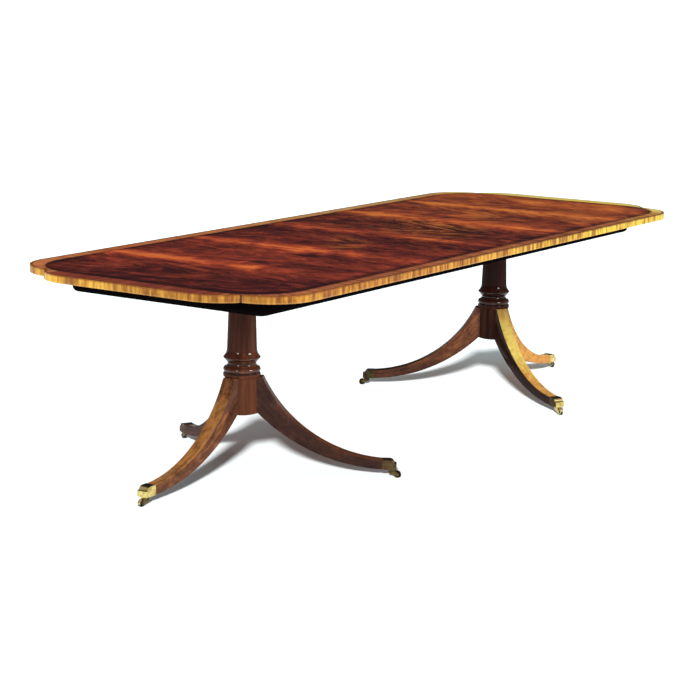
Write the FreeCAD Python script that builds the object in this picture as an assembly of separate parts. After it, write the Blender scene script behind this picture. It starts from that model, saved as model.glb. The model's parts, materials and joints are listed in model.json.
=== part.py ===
import FreeCAD, Part
import math
import os

# Double pedestal dining table with two loose leaves, in millimetres.
# The origin is on the floor under the middle of the top, +X runs along the length and +Z is up.
# The table stands extended: left half, left leaf, right leaf and right half lie edge to edge.

# Top
TABLE_LENGTH = 3048.0
TABLE_WIDTH = 1143.0
TABLE_HEIGHT = 756.0
LEAF_LENGTH = 508.0
TOP_THICKNESS = 25.0
SEAM_GAP = 0.4
CORNER_RADIUS = 165.0
LOBE_SETBACK = 80.0
END_ARC_START = 302.0

# Border of the top
LIPPING_THICKNESS = 3.0
INLAY_DEPTH = 2.0
BAND_AT_END = 80.0
BAND_AT_SIDE = 60.0
BAND_AT_CUSP = 18.25
STRING_WIDTH = 4.0

# Skirt under the top
SKIRT_DEPTH = 66.0
SKIRT_THICKNESS = 22.0
SKIRT_ROUNDING = 20.0
SKIRT_END_SETBACK = 197.0
SKIRT_SIDE_SETBACK = 159.0
SKIRT_CORNER_RADIUS = 37.0

# Extension runners
RUNNER_WIDTH = 38.0
RUNNER_HEIGHT = 40.0
RUNNER_SIDE_GAP = 60.5
RUNNER_END_GAP = 9.0
SLIDE_CLEARANCE = 0.3
TONGUE_DEPTH = 10.0
TONGUE_HEIGHT = 14.0
GROOVE_END_WALL = 30.0
SLIDE_TRAVEL = 100.0
SLIDE_STOP_MARGIN = 10.0

# Leaf pegs
PEG_RADIUS = 6.0
PEG_IN_LEAF = 12.0
PEG_IN_RUNNER = 14.0
PEG_FROM_SEAM = 120.0
PEG_SPACING = 110.0

# Pedestal
PEDESTAL_FROM_MIDDLE = 888.0
BLOCK_SIDE = 300.0
BLOCK_THICKNESS = 45.0
BLOCK_CHAMFER = 12.0
TENON_RADIUS = 30.0
TENON_LENGTH = 30.0

# Lag bolts that hold the block to the top
BOLT_RADIUS = 4.0
BOLT_IN_TOP = 15.0
BOLT_HEAD_RADIUS = 8.5
BOLT_HEAD_HEIGHT = 6.0
BOLT_EDGE_DISTANCE = 40.0
WASHER_RADIUS = 11.0
WASHER_THICKNESS = 2.0

# Turned column
HUB_BOTTOM = 222.0
HUB_HEIGHT = 130.0
HUB_RADIUS = 61.0
COLLAR_RADIUS = 65.6
COLLAR_HEIGHT = 12.0
GROOVE_RADIUS = 63.0
GROOVE_HEIGHT = 3.0
TORUS_RADIUS = 66.2
TORUS_HEIGHT = 21.0
NECK_RADIUS = 49.0
NECK_HEIGHT = 11.0
RING_RADIUS = 66.6
RING_RISE = 21.0
RING_FALL = 18.0
SHAFT_BOTTOM_RADIUS = 53.0
SHAFT_TOP_RADIUS = 45.0

# Sabre legs
LEG_SPREAD_ANGLE = 60.0
LEG_SHOULDER = 14.0
LEG_TOE_REACH = 525.0
LEG_TOE_HEIGHT = 34.0
LEG_ROOT_WIDTH = 55.0
LEG_TOE_WIDTH = 38.0
DOVETAIL_DEPTH = 18.0
DOVETAIL_NECK = 18.0
DOVETAIL_WIDTH = 26.0
DOVETAIL_TOP_STOP = 10.0
BEAD_INSET = 5.0
BEAD_GROOVE_WIDTH = 2.0
BEAD_GROOVE_DEPTH = 1.2

# Plate under the hub
PLATE_SETBACK = 11.0
PLATE_THICKNESS = 3.0

# Brass toe cap
CAP_OVERLAP = 25.0
CAP_LENGTH = 49.0
CAP_PROUD = 0.6
CAP_WALL = 2.0
CAP_FLOOR = 3.0
CAP_NOSE = 11.0
CAP_BROW_RADIUS = 16.0
CAP_COVE_RADIUS = 9.0
CAP_MOULDING_TURN = 65.0
CAP_LEDGE = 1.4
CAP_INSIDE_CHAMFER = 10.0

# Caster
CASTER_HEADROOM = 6.5
SWIVEL_SETBACK = 29.0
WHEEL_RADIUS = 12.5
WHEEL_WIDTH = 12.0
WHEEL_EDGE_ROUNDING = 1.5
WHEEL_SIDE_GAP = 0.5
WHEEL_RIM_GAP = 1.5
RUNNING_CLEARANCE = 0.05
SEAT_GAP = 0.3
STEM_RADIUS = 4.0
STEM_HEAD_RADIUS = 6.3
STEM_HEAD_HEIGHT = 2.5
STEM_POCKET_CLEARANCE = 1.2
FLANGE_RADIUS = 8.5
FLANGE_THICKNESS = 2.5
CROWN_RADIUS = 8.0
CROWN_GAP = 2.0
CHEEK_THICKNESS = 2.5
CHEEK_BOSS_RADIUS = 6.0
AXLE_RADIUS = 2.5
RIVET_RADIUS = 4.0
RIVET_HEIGHT = 1.2

# Places worked out from the sizes above
TOP_UNDERSIDE = TABLE_HEIGHT - TOP_THICKNESS
INLAY_FLOOR = TABLE_HEIGHT - INLAY_DEPTH
HALF_LENGTH = TABLE_LENGTH / 2
HALF_WIDTH = TABLE_WIDTH / 2
HALF_SEAM = LEAF_LENGTH + SEAM_GAP / 2
HUB_TOP = HUB_BOTTOM + HUB_HEIGHT
BLOCK_UNDERSIDE = TOP_UNDERSIDE - BLOCK_THICKNESS
RUNNER_UNDERSIDE = TOP_UNDERSIDE - RUNNER_HEIGHT
RUNNER_START = HALF_LENGTH - SKIRT_END_SETBACK - SKIRT_THICKNESS - RUNNER_END_GAP
RUNNER_REACH = RUNNER_START - 2 * LEAF_LENGTH
RUNNER_OUTSIDE = HALF_WIDTH - SKIRT_SIDE_SETBACK - SKIRT_THICKNESS - RUNNER_SIDE_GAP
GROOVED_FACE = RUNNER_OUTSIDE - RUNNER_WIDTH
TONGUED_FACE = GROOVED_FACE - SLIDE_CLEARANCE
GROOVE_END = RUNNER_REACH - GROOVE_END_WALL
TONGUE_END = GROOVE_END - SLIDE_TRAVEL - SLIDE_STOP_MARGIN
PLATE_RADIUS = HUB_RADIUS - PLATE_SETBACK
CASTER_HEIGHT = 2 * WHEEL_RADIUS + CASTER_HEADROOM
TOE_TOP = CASTER_HEIGHT + LEG_TOE_HEIGHT
CAP_BOTTOM = CASTER_HEIGHT - CAP_PROUD
CAP_TOP = TOE_TOP + CAP_PROUD
CAP_START = LEG_TOE_REACH - CAP_OVERLAP
CAP_END = CAP_START + CAP_LENGTH
CAP_HALF_WIDTH = LEG_TOE_WIDTH / 2 + CAP_PROUD
SWIVEL_REACH = CAP_START + SWIVEL_SETBACK
AXLE_REACH = SWIVEL_REACH + CROWN_RADIUS + CROWN_GAP + WHEEL_RIM_GAP + WHEEL_RADIUS
FORK_HALF_WIDTH = WHEEL_WIDTH / 2 + WHEEL_SIDE_GAP + CHEEK_THICKNESS
HALF_TURN = 180.0

UP = FreeCAD.Vector(0, 0, 1)
ORIGIN = FreeCAD.Vector(0, 0, 0)

# Direction of each leg about its pedestal, in degrees from +X
LEG_ANGLES = {
    "left": {"end": HALF_TURN, "back": LEG_SPREAD_ANGLE, "front": -LEG_SPREAD_ANGLE},
    "right": {"end": 0.0, "back": HALF_TURN - LEG_SPREAD_ANGLE, "front": LEG_SPREAD_ANGLE - HALF_TURN},
}


def vec(x, y, z=0.0):
    return FreeCAD.Vector(x, y, z)


def line(a, b):
    return Part.LineSegment(a, b).toShape()


def box(x0, x1, y0, y1, z0, z1):
    """Box between two corners, given in either order along each axis."""
    low = vec(min(x0, x1), min(y0, y1), min(z0, z1))
    return Part.makeBox(abs(x1 - x0), abs(y1 - y0), abs(z1 - z0), low)


def plan_prism(edges, z0, z1):
    """Solid over a closed plan outline drawn at z = 0."""
    face = Part.Face(Part.Wire(edges))
    solid = face.extrude(vec(0, 0, z1 - z0))
    solid.translate(vec(0, 0, z0))
    return solid


def polygon_edges(points):
    """Edges of the closed polygon through the points."""
    return [line(a, b) for a, b in zip(points, points[1:] + points[:1])]


def arc_about(centre, radius, start, end, plane_y=None):
    """Arc from one angle to another in degrees, in plan or upright in the plane y = plane_y."""
    points = []
    for angle in (start, (start + end) / 2, end):
        across = centre[0] + radius * math.cos(math.radians(angle))
        along = centre[1] + radius * math.sin(math.radians(angle))
        points.append(vec(across, along) if plane_y is None else vec(across, plane_y, along))
    return Part.Arc(*points).toShape()


def mirror_y(shape):
    return shape.mirror(ORIGIN, vec(0, 1, 0))


def both_sides(shape):
    """The shape and its mirror image across the table's long axis."""
    return Part.makeCompound([shape, mirror_y(shape)])


def on_side(shape, side):
    """A piece of the left half, turned round to the other end for the right half."""
    turned = shape.copy()
    if side == "right":
        turned.rotate(ORIGIN, UP, HALF_TURN)
    return turned


def corner_arcs(inset):
    """Centres, radius and cusp of the two arcs at the left half's back corner."""
    radius = CORNER_RADIUS - inset
    lobe = (-HALF_LENGTH + LOBE_SETBACK + CORNER_RADIUS, HALF_WIDTH - CORNER_RADIUS)
    nose = (-HALF_LENGTH + CORNER_RADIUS, HALF_WIDTH - END_ARC_START)
    # The arcs have one radius, so they meet on the bisector of their centres.
    gap = math.dist(lobe, nose)
    height = math.sqrt(radius ** 2 - (gap / 2) ** 2)
    cusp_x = (lobe[0] + nose[0]) / 2 - height * (lobe[1] - nose[1]) / gap
    cusp_y = (lobe[1] + nose[1]) / 2 + height * (lobe[0] - nose[0]) / gap
    return lobe, nose, radius, (cusp_x, cusp_y)


def half_outline(inset):
    """Plan outline of the left half, drawn in from the shaped edge by the inset but not at the seam."""
    end = -HALF_LENGTH + inset
    side = HALF_WIDTH - inset
    lobe, nose, radius, cusp = corner_arcs(inset)
    lobe_angle = math.degrees(math.atan2(cusp[1] - lobe[1], cusp[0] - lobe[0])) % 360
    nose_angle = math.degrees(math.atan2(cusp[1] - nose[1], cusp[0] - nose[0])) % 360
    corner = [
        line(vec(-HALF_SEAM, side), vec(lobe[0], side)),
        arc_about(lobe, radius, 90, lobe_angle),
        arc_about(nose, radius, nose_angle, 180),
    ]
    other = [mirror_y(edge) for edge in reversed(corner)]
    tie = line(vec(end, nose[1]), vec(end, -nose[1]))
    seam = line(vec(-HALF_SEAM, -side), vec(-HALF_SEAM, side))
    return Part.__sortEdges__(corner + [tie] + other + [seam])


def round_end_outline(end, side, radius, seam):
    """Plan outline that is square at the seam and has two rounded corners at the left end."""
    centre = (end + radius, side - radius)
    corner = [
        line(vec(seam, side), vec(centre[0], side)),
        arc_about(centre, radius, 90, 180),
    ]
    other = [mirror_y(edge) for edge in reversed(corner)]
    tie = line(vec(end, centre[1]), vec(end, -centre[1]))
    close = line(vec(seam, -side), vec(seam, side))
    return Part.__sortEdges__(corner + [tie] + other + [close])


def field_corner_radius():
    """Radius of the field's corners that keeps them clear of the cusps by the band's width there."""
    cusp = corner_arcs(LIPPING_THICKNESS)[-1]
    across = cusp[0] + HALF_LENGTH - BAND_AT_END
    along = HALF_WIDTH - BAND_AT_SIDE - cusp[1]
    reach = across + along + BAND_AT_CUSP
    return reach + math.sqrt(reach ** 2 + BAND_AT_CUSP ** 2 - across ** 2 - along ** 2)


def field_outline(outset):
    """Plan outline of the left half's field, grown by the outset but not at the seam."""
    end = -HALF_LENGTH + BAND_AT_END - outset
    side = HALF_WIDTH - BAND_AT_SIDE + outset
    return round_end_outline(end, side, field_corner_radius() + outset, -HALF_SEAM)


def bolt_places():
    """Plan places of one block's four bolts, about its pedestal."""
    reach = BLOCK_SIDE / 2 - BOLT_EDGE_DISTANCE
    return [(x, y) for x in (-reach, reach) for y in (-reach, reach)]


def bolt_holes():
    """Bolt shanks of the left pedestal, as they stand in block and top."""
    length = BLOCK_THICKNESS + BOLT_IN_TOP
    shanks = [
        Part.makeCylinder(BOLT_RADIUS, length, vec(x - PEDESTAL_FROM_MIDDLE, y, BLOCK_UNDERSIDE))
        for x, y in bolt_places()
    ]
    return Part.makeCompound(shanks)


def half_top(side):
    """Panel, lipping, crossband and stringing of one half."""
    panel = plan_prism(half_outline(LIPPING_THICKNESS), TOP_UNDERSIDE, INLAY_FLOOR)
    panel = panel.fuse(plan_prism(field_outline(0), INLAY_FLOOR, TABLE_HEIGHT)).removeSplitter()
    panel = panel.cut(bolt_holes())
    lipping = plan_prism(half_outline(0), TOP_UNDERSIDE, TABLE_HEIGHT)
    lipping = lipping.cut(plan_prism(half_outline(LIPPING_THICKNESS), TOP_UNDERSIDE, TABLE_HEIGHT))
    string_outside = plan_prism(field_outline(STRING_WIDTH), INLAY_FLOOR, TABLE_HEIGHT)
    crossband = plan_prism(half_outline(LIPPING_THICKNESS), INLAY_FLOOR, TABLE_HEIGHT).cut(string_outside)
    stringing = string_outside.cut(plan_prism(field_outline(0), INLAY_FLOOR, TABLE_HEIGHT))
    return {
        f"{side}_top_panel": on_side(panel, side),
        f"{side}_edge_lipping": on_side(lipping, side),
        f"{side}_crossband": on_side(crossband, side),
        f"{side}_stringing": on_side(stringing, side),
    }


def rounded_below(rail, bottom, on_cut):
    """A rail's solid with its lower outside edges rounded, apart from the edges of its cut faces."""
    lower = [
        edge
        for edge in rail.Edges
        if edge.BoundBox.ZMax < bottom + SEAM_GAP and not on_cut(edge.BoundBox)
    ]
    return rail.makeFillet(SKIRT_ROUNDING, lower)


def half_skirt(side):
    """End rail with its rounded corners, and the two side rails, of one half."""
    end = -HALF_LENGTH + SKIRT_END_SETBACK
    width = HALF_WIDTH - SKIRT_SIDE_SETBACK
    bottom = TOP_UNDERSIDE - SKIRT_DEPTH
    outside = round_end_outline(end, width, SKIRT_CORNER_RADIUS, -HALF_SEAM)
    inside = round_end_outline(
        end + SKIRT_THICKNESS,
        width - SKIRT_THICKNESS,
        SKIRT_CORNER_RADIUS - SKIRT_THICKNESS,
        -HALF_SEAM,
    )
    rail = plan_prism(outside, bottom, TOP_UNDERSIDE)
    rail = rounded_below(rail, bottom, lambda place: place.XMin > -HALF_SEAM - SEAM_GAP)
    ring = rail.cut(plan_prism(inside, bottom, TOP_UNDERSIDE))
    joint = end + SKIRT_CORNER_RADIUS
    end_zone = box(end, joint, -width, width, bottom, TOP_UNDERSIDE)
    return {
        f"{side}_end_skirt": on_side(ring.common(end_zone), side),
        f"{side}_side_skirts": on_side(ring.cut(end_zone), side),
    }


def leaf_top(side):
    """All pieces of one leaf."""
    inner = -SEAM_GAP / 2
    outer = -LEAF_LENGTH + SEAM_GAP / 2
    panel_side = HALF_WIDTH - LIPPING_THICKNESS
    field_side = HALF_WIDTH - BAND_AT_SIDE
    string_side = field_side + STRING_WIDTH
    skirt_side = HALF_WIDTH - SKIRT_SIDE_SETBACK
    pegs = leaf_pegs(side)
    panel = box(outer, inner, -panel_side, panel_side, TOP_UNDERSIDE, INLAY_FLOOR)
    panel = panel.fuse(box(outer, inner, -field_side, field_side, INLAY_FLOOR, TABLE_HEIGHT))
    panel = on_side(panel.removeSplitter(), side).cut(pegs)
    lipping = box(outer, inner, panel_side, HALF_WIDTH, TOP_UNDERSIDE, TABLE_HEIGHT)
    crossband = box(outer, inner, string_side, panel_side, INLAY_FLOOR, TABLE_HEIGHT)
    stringing = box(outer, inner, field_side, string_side, INLAY_FLOOR, TABLE_HEIGHT)
    skirt_bottom = TOP_UNDERSIDE - SKIRT_DEPTH
    skirt = box(outer, inner, skirt_side - SKIRT_THICKNESS, skirt_side, skirt_bottom, TOP_UNDERSIDE)
    skirt = rounded_below(skirt, skirt_bottom, lambda place: place.YMin < skirt_side - SEAM_GAP)
    return {
        f"{side}_leaf_panel": panel,
        f"{side}_leaf_lipping": on_side(both_sides(lipping), side),
        f"{side}_leaf_crossband": on_side(both_sides(crossband), side),
        f"{side}_leaf_stringing": on_side(both_sides(stringing), side),
        f"{side}_leaf_skirts": on_side(both_sides(skirt), side),
        f"{side}_leaf_pegs": pegs,
    }


def leaf_pegs(side, clearance=0.0):
    """Pegs that stand in a leaf and reach down into the runners of its own half."""
    if side == "left":
        width = GROOVED_FACE + (RUNNER_WIDTH + TONGUE_DEPTH) / 2
    else:
        width = TONGUED_FACE - RUNNER_WIDTH / 2
    low = TOP_UNDERSIDE - PEG_IN_RUNNER - clearance
    length = PEG_IN_RUNNER + PEG_IN_LEAF + clearance
    pegs = [
        Part.makeCylinder(PEG_RADIUS + clearance, length, vec(-x, y, low))
        for x in (PEG_FROM_SEAM, PEG_FROM_SEAM + PEG_SPACING)
        for y in (-width, width)
    ]
    return on_side(Part.makeCompound(pegs), side)


def runner_body(start, reach, inner, outer):
    """Square runner on the +Y side, eased along its free length so that it passes under the top."""
    own = box(start, -HALF_SEAM, inner, outer, RUNNER_UNDERSIDE, TOP_UNDERSIDE)
    free = box(-HALF_SEAM, reach, inner, outer, RUNNER_UNDERSIDE, TOP_UNDERSIDE - SLIDE_CLEARANCE)
    return own.fuse(free).removeSplitter()


def runners():
    """Grooved runners of the left half and tongued runners of the right half."""
    middle = RUNNER_UNDERSIDE + RUNNER_HEIGHT / 2
    low = middle - TONGUE_HEIGHT / 2
    high = middle + TONGUE_HEIGHT / 2
    grooved = runner_body(-RUNNER_START, RUNNER_REACH, GROOVED_FACE, RUNNER_OUTSIDE)
    groove = box(
        -RUNNER_START,
        GROOVE_END,
        GROOVED_FACE,
        GROOVED_FACE + TONGUE_DEPTH + SLIDE_CLEARANCE,
        low - SLIDE_CLEARANCE,
        high + SLIDE_CLEARANCE,
    )
    grooved = both_sides(grooved.cut(groove))
    tongued = runner_body(-RUNNER_START, RUNNER_REACH, TONGUED_FACE - RUNNER_WIDTH, TONGUED_FACE)
    tongue = box(-TONGUE_END, RUNNER_REACH, TONGUED_FACE, GROOVED_FACE + TONGUE_DEPTH, low, high)
    tongued = on_side(both_sides(tongued.fuse(tongue).removeSplitter()), "right")
    return {
        "left_runners": grooved.cut(leaf_pegs("left", SLIDE_CLEARANCE)),
        "right_runners": tongued.cut(leaf_pegs("right", SLIDE_CLEARANCE)),
    }


def column():
    """Turned column with hub, collar, groove, torus, sharp-edged ring, shaft and top tenon."""
    collar_top = HUB_TOP + COLLAR_HEIGHT
    groove_top = collar_top + GROOVE_HEIGHT
    torus_top = groove_top + TORUS_HEIGHT
    neck = torus_top + NECK_HEIGHT
    ring = neck + RING_RISE
    shaft = ring + RING_FALL
    bead = TORUS_HEIGHT / 2
    torus_middle = (TORUS_RADIUS - bead, groove_top + bead)
    tenon_top = BLOCK_UNDERSIDE + TENON_LENGTH

    def at(radius, height):
        return vec(radius, 0, height)

    edges = [
        line(at(0, HUB_BOTTOM), at(HUB_RADIUS, HUB_BOTTOM)),
        line(at(HUB_RADIUS, HUB_BOTTOM), at(HUB_RADIUS, HUB_TOP)),
        line(at(HUB_RADIUS, HUB_TOP), at(COLLAR_RADIUS, HUB_TOP)),
        line(at(COLLAR_RADIUS, HUB_TOP), at(COLLAR_RADIUS, collar_top)),
        line(at(COLLAR_RADIUS, collar_top), at(GROOVE_RADIUS, collar_top)),
        line(at(GROOVE_RADIUS, collar_top), at(GROOVE_RADIUS, groove_top)),
        line(at(GROOVE_RADIUS, groove_top), at(torus_middle[0], groove_top)),
        arc_about(torus_middle, bead, -90, 90, plane_y=0),
        line(at(torus_middle[0], torus_top), at(NECK_RADIUS, neck)),
        line(at(NECK_RADIUS, neck), at(RING_RADIUS, ring)),
        line(at(RING_RADIUS, ring), at(SHAFT_BOTTOM_RADIUS, shaft)),
        line(at(SHAFT_BOTTOM_RADIUS, shaft), at(SHAFT_TOP_RADIUS, BLOCK_UNDERSIDE)),
        line(at(SHAFT_TOP_RADIUS, BLOCK_UNDERSIDE), at(TENON_RADIUS, BLOCK_UNDERSIDE)),
        line(at(TENON_RADIUS, BLOCK_UNDERSIDE), at(TENON_RADIUS, tenon_top)),
        line(at(TENON_RADIUS, tenon_top), at(0, tenon_top)),
        line(at(0, tenon_top), at(0, HUB_BOTTOM)),
    ]
    return Part.Face(Part.Wire(edges)).revolve(ORIGIN, UP, 360)


def sabre_arc(reach, height, toe_height):
    """Arc that starts at a point of the hub and runs out level at the toe, with its centre over the toe."""
    across = LEG_TOE_REACH - reach
    drop = height - toe_height
    radius = (across ** 2 + drop ** 2) / (2 * drop)
    start = 180 + math.degrees(math.atan2(radius - drop, across))
    return arc_about((LEG_TOE_REACH, toe_height + radius), radius, start, 270, plane_y=0)


def leg_side_prism():
    """Side outline of a leg along +X, thicker than the leg and running into the hub."""
    root = HUB_RADIUS / 2
    shoulder = HUB_RADIUS + LEG_SHOULDER
    upper = sabre_arc(shoulder, HUB_TOP, TOE_TOP)
    lower = sabre_arc(HUB_RADIUS, HUB_BOTTOM, CASTER_HEIGHT)
    edges = [
        line(vec(root, 0, HUB_TOP), vec(shoulder, 0, HUB_TOP)),
        upper,
        line(vec(LEG_TOE_REACH, 0, TOE_TOP), vec(CAP_END, 0, TOE_TOP)),
        line(vec(CAP_END, 0, TOE_TOP), vec(CAP_END, 0, CASTER_HEIGHT)),
        line(vec(CAP_END, 0, CASTER_HEIGHT), vec(LEG_TOE_REACH, 0, CASTER_HEIGHT)),
        lower,
        line(vec(HUB_RADIUS, 0, HUB_BOTTOM), vec(root, 0, HUB_BOTTOM)),
        line(vec(root, 0, HUB_BOTTOM), vec(root, 0, HUB_TOP)),
    ]
    face = Part.Face(Part.Wire(Part.__sortEdges__(edges)))
    solid = face.extrude(vec(0, 2 * LEG_ROOT_WIDTH, 0))
    solid.translate(vec(0, -LEG_ROOT_WIDTH, 0))
    return solid


def leg_strip(low_inset, high_inset, z0, z1):
    """Strip along the leg in plan, between two distances from its tapering +Y side."""
    root = LEG_ROOT_WIDTH / 2
    toe = LEG_TOE_WIDTH / 2
    points = [
        vec(0, root - low_inset),
        vec(LEG_TOE_REACH, toe - low_inset),
        vec(CAP_END, toe - low_inset),
        vec(CAP_END, toe - high_inset),
        vec(LEG_TOE_REACH, toe - high_inset),
        vec(0, root - high_inset),
    ]
    return plan_prism(polygon_edges(points), z0, z1)


def cap_inside():
    """Room inside a toe cap along +X, sloped under the cap's moulded nose."""
    width = CAP_HALF_WIDTH - CAP_WALL
    end = CAP_END - CAP_NOSE
    top = CAP_TOP - CAP_WALL
    room = box(CAP_START, end, -width, width, CAP_BOTTOM + CAP_FLOOR, top)
    return room.makeChamfer(CAP_INSIDE_CHAMFER, edges_at(room, end, top))


def edges_at(shape, x, z):
    """Edges of a piece whose middle has that X and Z."""
    return [
        edge
        for edge in shape.Edges
        if abs(edge.CenterOfMass.x - x) < SEAT_GAP and abs(edge.CenterOfMass.z - z) < SEAT_GAP
    ]


def tenon_on_leg():
    """Reduced end of the leg that fills the cap, with a pocket for the caster's riveted head."""
    pocket = Part.makeCylinder(
        STEM_HEAD_RADIUS + STEM_POCKET_CLEARANCE,
        2 * SEAT_GAP + STEM_HEAD_HEIGHT,
        vec(SWIVEL_REACH, 0, CAP_BOTTOM + CAP_FLOOR),
    )
    return cap_inside().cut(pocket)


def leg():
    """Sabre leg along +X, with beaded top edges, a dovetail at the hub and a tenon at the toe."""
    whole = leg_side_prism()
    half = leg_strip(0, LEG_ROOT_WIDTH / 2, 0, TABLE_HEIGHT)
    body = whole.common(half.fuse(mirror_y(half)).removeSplitter())
    body = body.common(box(0, CAP_START, -LEG_ROOT_WIDTH, LEG_ROOT_WIDTH, 0, TABLE_HEIGHT))
    lowered = whole.copy()
    lowered.translate(vec(0, 0, -BEAD_GROOVE_DEPTH))
    groove = leg_strip(BEAD_INSET, BEAD_INSET + BEAD_GROOVE_WIDTH, 0, TABLE_HEIGHT)
    for strip in (groove, mirror_y(groove)):
        body = body.cut(strip.common(whole).cut(lowered))
    body = body.cut(Part.makeCylinder(HUB_RADIUS, TABLE_HEIGHT))
    neck = DOVETAIL_NECK / 2
    wide = DOVETAIL_WIDTH / 2
    back = HUB_RADIUS - DOVETAIL_DEPTH
    front = HUB_RADIUS + LEG_SHOULDER / 2
    tail = [vec(back, -wide), vec(HUB_RADIUS, -neck), vec(front, -neck)]
    tail += [vec(front, neck), vec(HUB_RADIUS, neck), vec(back, wide)]
    dovetail = plan_prism(polygon_edges(tail), HUB_BOTTOM, HUB_TOP - DOVETAIL_TOP_STOP)
    dovetail = dovetail.common(whole)
    return body.fuse(dovetail).fuse(tenon_on_leg()).removeSplitter()


def toe_cap():
    """Brass cap over the toe of a leg along +X: a box whose nose is a round brow over a cove and a ledge."""
    turn = math.radians(CAP_MOULDING_TURN)
    both = CAP_BROW_RADIUS + CAP_COVE_RADIUS
    ledge = CAP_TOP - both * (1 - math.cos(turn))
    cove_end = CAP_END - CAP_LEDGE
    brow_start = cove_end - both * math.sin(turn)
    side = -CAP_HALF_WIDTH
    brow = arc_about(
        (brow_start, CAP_TOP - CAP_BROW_RADIUS), CAP_BROW_RADIUS, 90 - CAP_MOULDING_TURN, 90, plane_y=side
    )
    cove = arc_about(
        (cove_end, ledge + CAP_COVE_RADIUS), CAP_COVE_RADIUS, 270 - CAP_MOULDING_TURN, 270, plane_y=side
    )
    edges = [
        line(vec(CAP_START, side, CAP_TOP), vec(brow_start, side, CAP_TOP)),
        brow,
        cove,
        line(vec(cove_end, side, ledge), vec(CAP_END, side, ledge)),
        line(vec(CAP_END, side, ledge), vec(CAP_END, side, CAP_BOTTOM)),
        line(vec(CAP_END, side, CAP_BOTTOM), vec(CAP_START, side, CAP_BOTTOM)),
        line(vec(CAP_START, side, CAP_BOTTOM), vec(CAP_START, side, CAP_TOP)),
    ]
    outline = Part.Face(Part.Wire(Part.__sortEdges__(edges)))
    outside = outline.extrude(vec(0, 2 * CAP_HALF_WIDTH, 0))
    hole = Part.makeCylinder(STEM_RADIUS + RUNNING_CLEARANCE, CAP_FLOOR, vec(SWIVEL_REACH, 0, CAP_BOTTOM))
    return outside.cut(cap_inside()).cut(hole)


def belt_edges(start, start_radius, end, end_radius, plane_y):
    """Upright outline round two circles and their outer tangents."""
    heading = math.degrees(math.atan2(end[1] - start[1], end[0] - start[0]))
    lean = math.degrees(math.acos((start_radius - end_radius) / math.dist(start, end)))
    back_arc = arc_about(start, start_radius, heading + lean, heading + 360 - lean, plane_y)
    front_arc = arc_about(end, end_radius, heading - lean, heading + lean, plane_y)
    return [
        back_arc,
        line(back_arc.Vertexes[1].Point, front_arc.Vertexes[0].Point),
        front_arc,
        line(front_arc.Vertexes[1].Point, back_arc.Vertexes[0].Point),
    ]


def along_y(radius, half_length, x, z):
    """Cylinder across the caster, centred on the leg's plane."""
    return Part.makeCylinder(radius, 2 * half_length, vec(x, -half_length, z), vec(0, 1, 0))


def fork():
    """Swivelling fork under a cap along +X: riveted stem, flange, crown and two cheeks."""
    flange_top = CAP_BOTTOM - SEAT_GAP
    flange_bottom = flange_top - FLANGE_THICKNESS
    head_bottom = CAP_BOTTOM + CAP_FLOOR + SEAT_GAP
    crown = (SWIVEL_REACH, flange_bottom - CROWN_RADIUS / 2)
    edges = belt_edges(crown, CROWN_RADIUS, (AXLE_REACH, WHEEL_RADIUS), CHEEK_BOSS_RADIUS, -FORK_HALF_WIDTH)
    arms = Part.Face(Part.Wire(edges)).extrude(vec(0, 2 * FORK_HALF_WIDTH, 0))
    over_flange = box(
        SWIVEL_REACH - CROWN_RADIUS,
        SWIVEL_REACH + CROWN_RADIUS,
        -FORK_HALF_WIDTH,
        FORK_HALF_WIDTH,
        flange_bottom,
        flange_top + CROWN_RADIUS,
    )
    well = along_y(WHEEL_RADIUS + WHEEL_RIM_GAP, WHEEL_WIDTH / 2 + WHEEL_SIDE_GAP, AXLE_REACH, WHEEL_RADIUS)
    arms = arms.cut(over_flange).cut(well)
    flange = Part.makeCylinder(FLANGE_RADIUS, FLANGE_THICKNESS, vec(SWIVEL_REACH, 0, flange_bottom))
    stem = Part.makeCylinder(STEM_RADIUS, head_bottom - flange_top, vec(SWIVEL_REACH, 0, flange_top))
    head = Part.makeCylinder(STEM_HEAD_RADIUS, STEM_HEAD_HEIGHT, vec(SWIVEL_REACH, 0, head_bottom))
    whole = arms.fuse([flange, stem, head]).removeSplitter()
    return whole.cut(along_y(AXLE_RADIUS, FORK_HALF_WIDTH, AXLE_REACH, WHEEL_RADIUS))


def axle():
    """Axle pin with its two riveted ends."""
    pin = along_y(AXLE_RADIUS, FORK_HALF_WIDTH, AXLE_REACH, WHEEL_RADIUS)
    rivets = along_y(RIVET_RADIUS, FORK_HALF_WIDTH + RIVET_HEIGHT, AXLE_REACH, WHEEL_RADIUS)
    rivets = rivets.cut(along_y(RIVET_RADIUS, FORK_HALF_WIDTH, AXLE_REACH, WHEEL_RADIUS))
    return pin.fuse(rivets).removeSplitter()


def wheel():
    """Brass wheel with eased rims and a plain bore."""
    disc = along_y(WHEEL_RADIUS, WHEEL_WIDTH / 2, AXLE_REACH, WHEEL_RADIUS)
    rims = [edge for edge in disc.Edges if isinstance(edge.Curve, Part.Circle)]
    disc = disc.makeFillet(WHEEL_EDGE_ROUNDING, rims)
    return disc.cut(along_y(AXLE_RADIUS + RUNNING_CLEARANCE, WHEEL_WIDTH, AXLE_REACH, WHEEL_RADIUS))


def mounting_block():
    """Square block between column and top, with chamfered lower edges, about its pedestal."""
    half = BLOCK_SIDE / 2
    block = box(-half, half, -half, half, BLOCK_UNDERSIDE, TOP_UNDERSIDE)
    lower = [edge for edge in block.Edges if edge.CenterOfMass.z < BLOCK_UNDERSIDE + SEAT_GAP]
    block = block.makeChamfer(BLOCK_CHAMFER, lower)
    socket = Part.makeCylinder(TENON_RADIUS, TENON_LENGTH, vec(0, 0, BLOCK_UNDERSIDE))
    return block.cut(socket)


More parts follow.
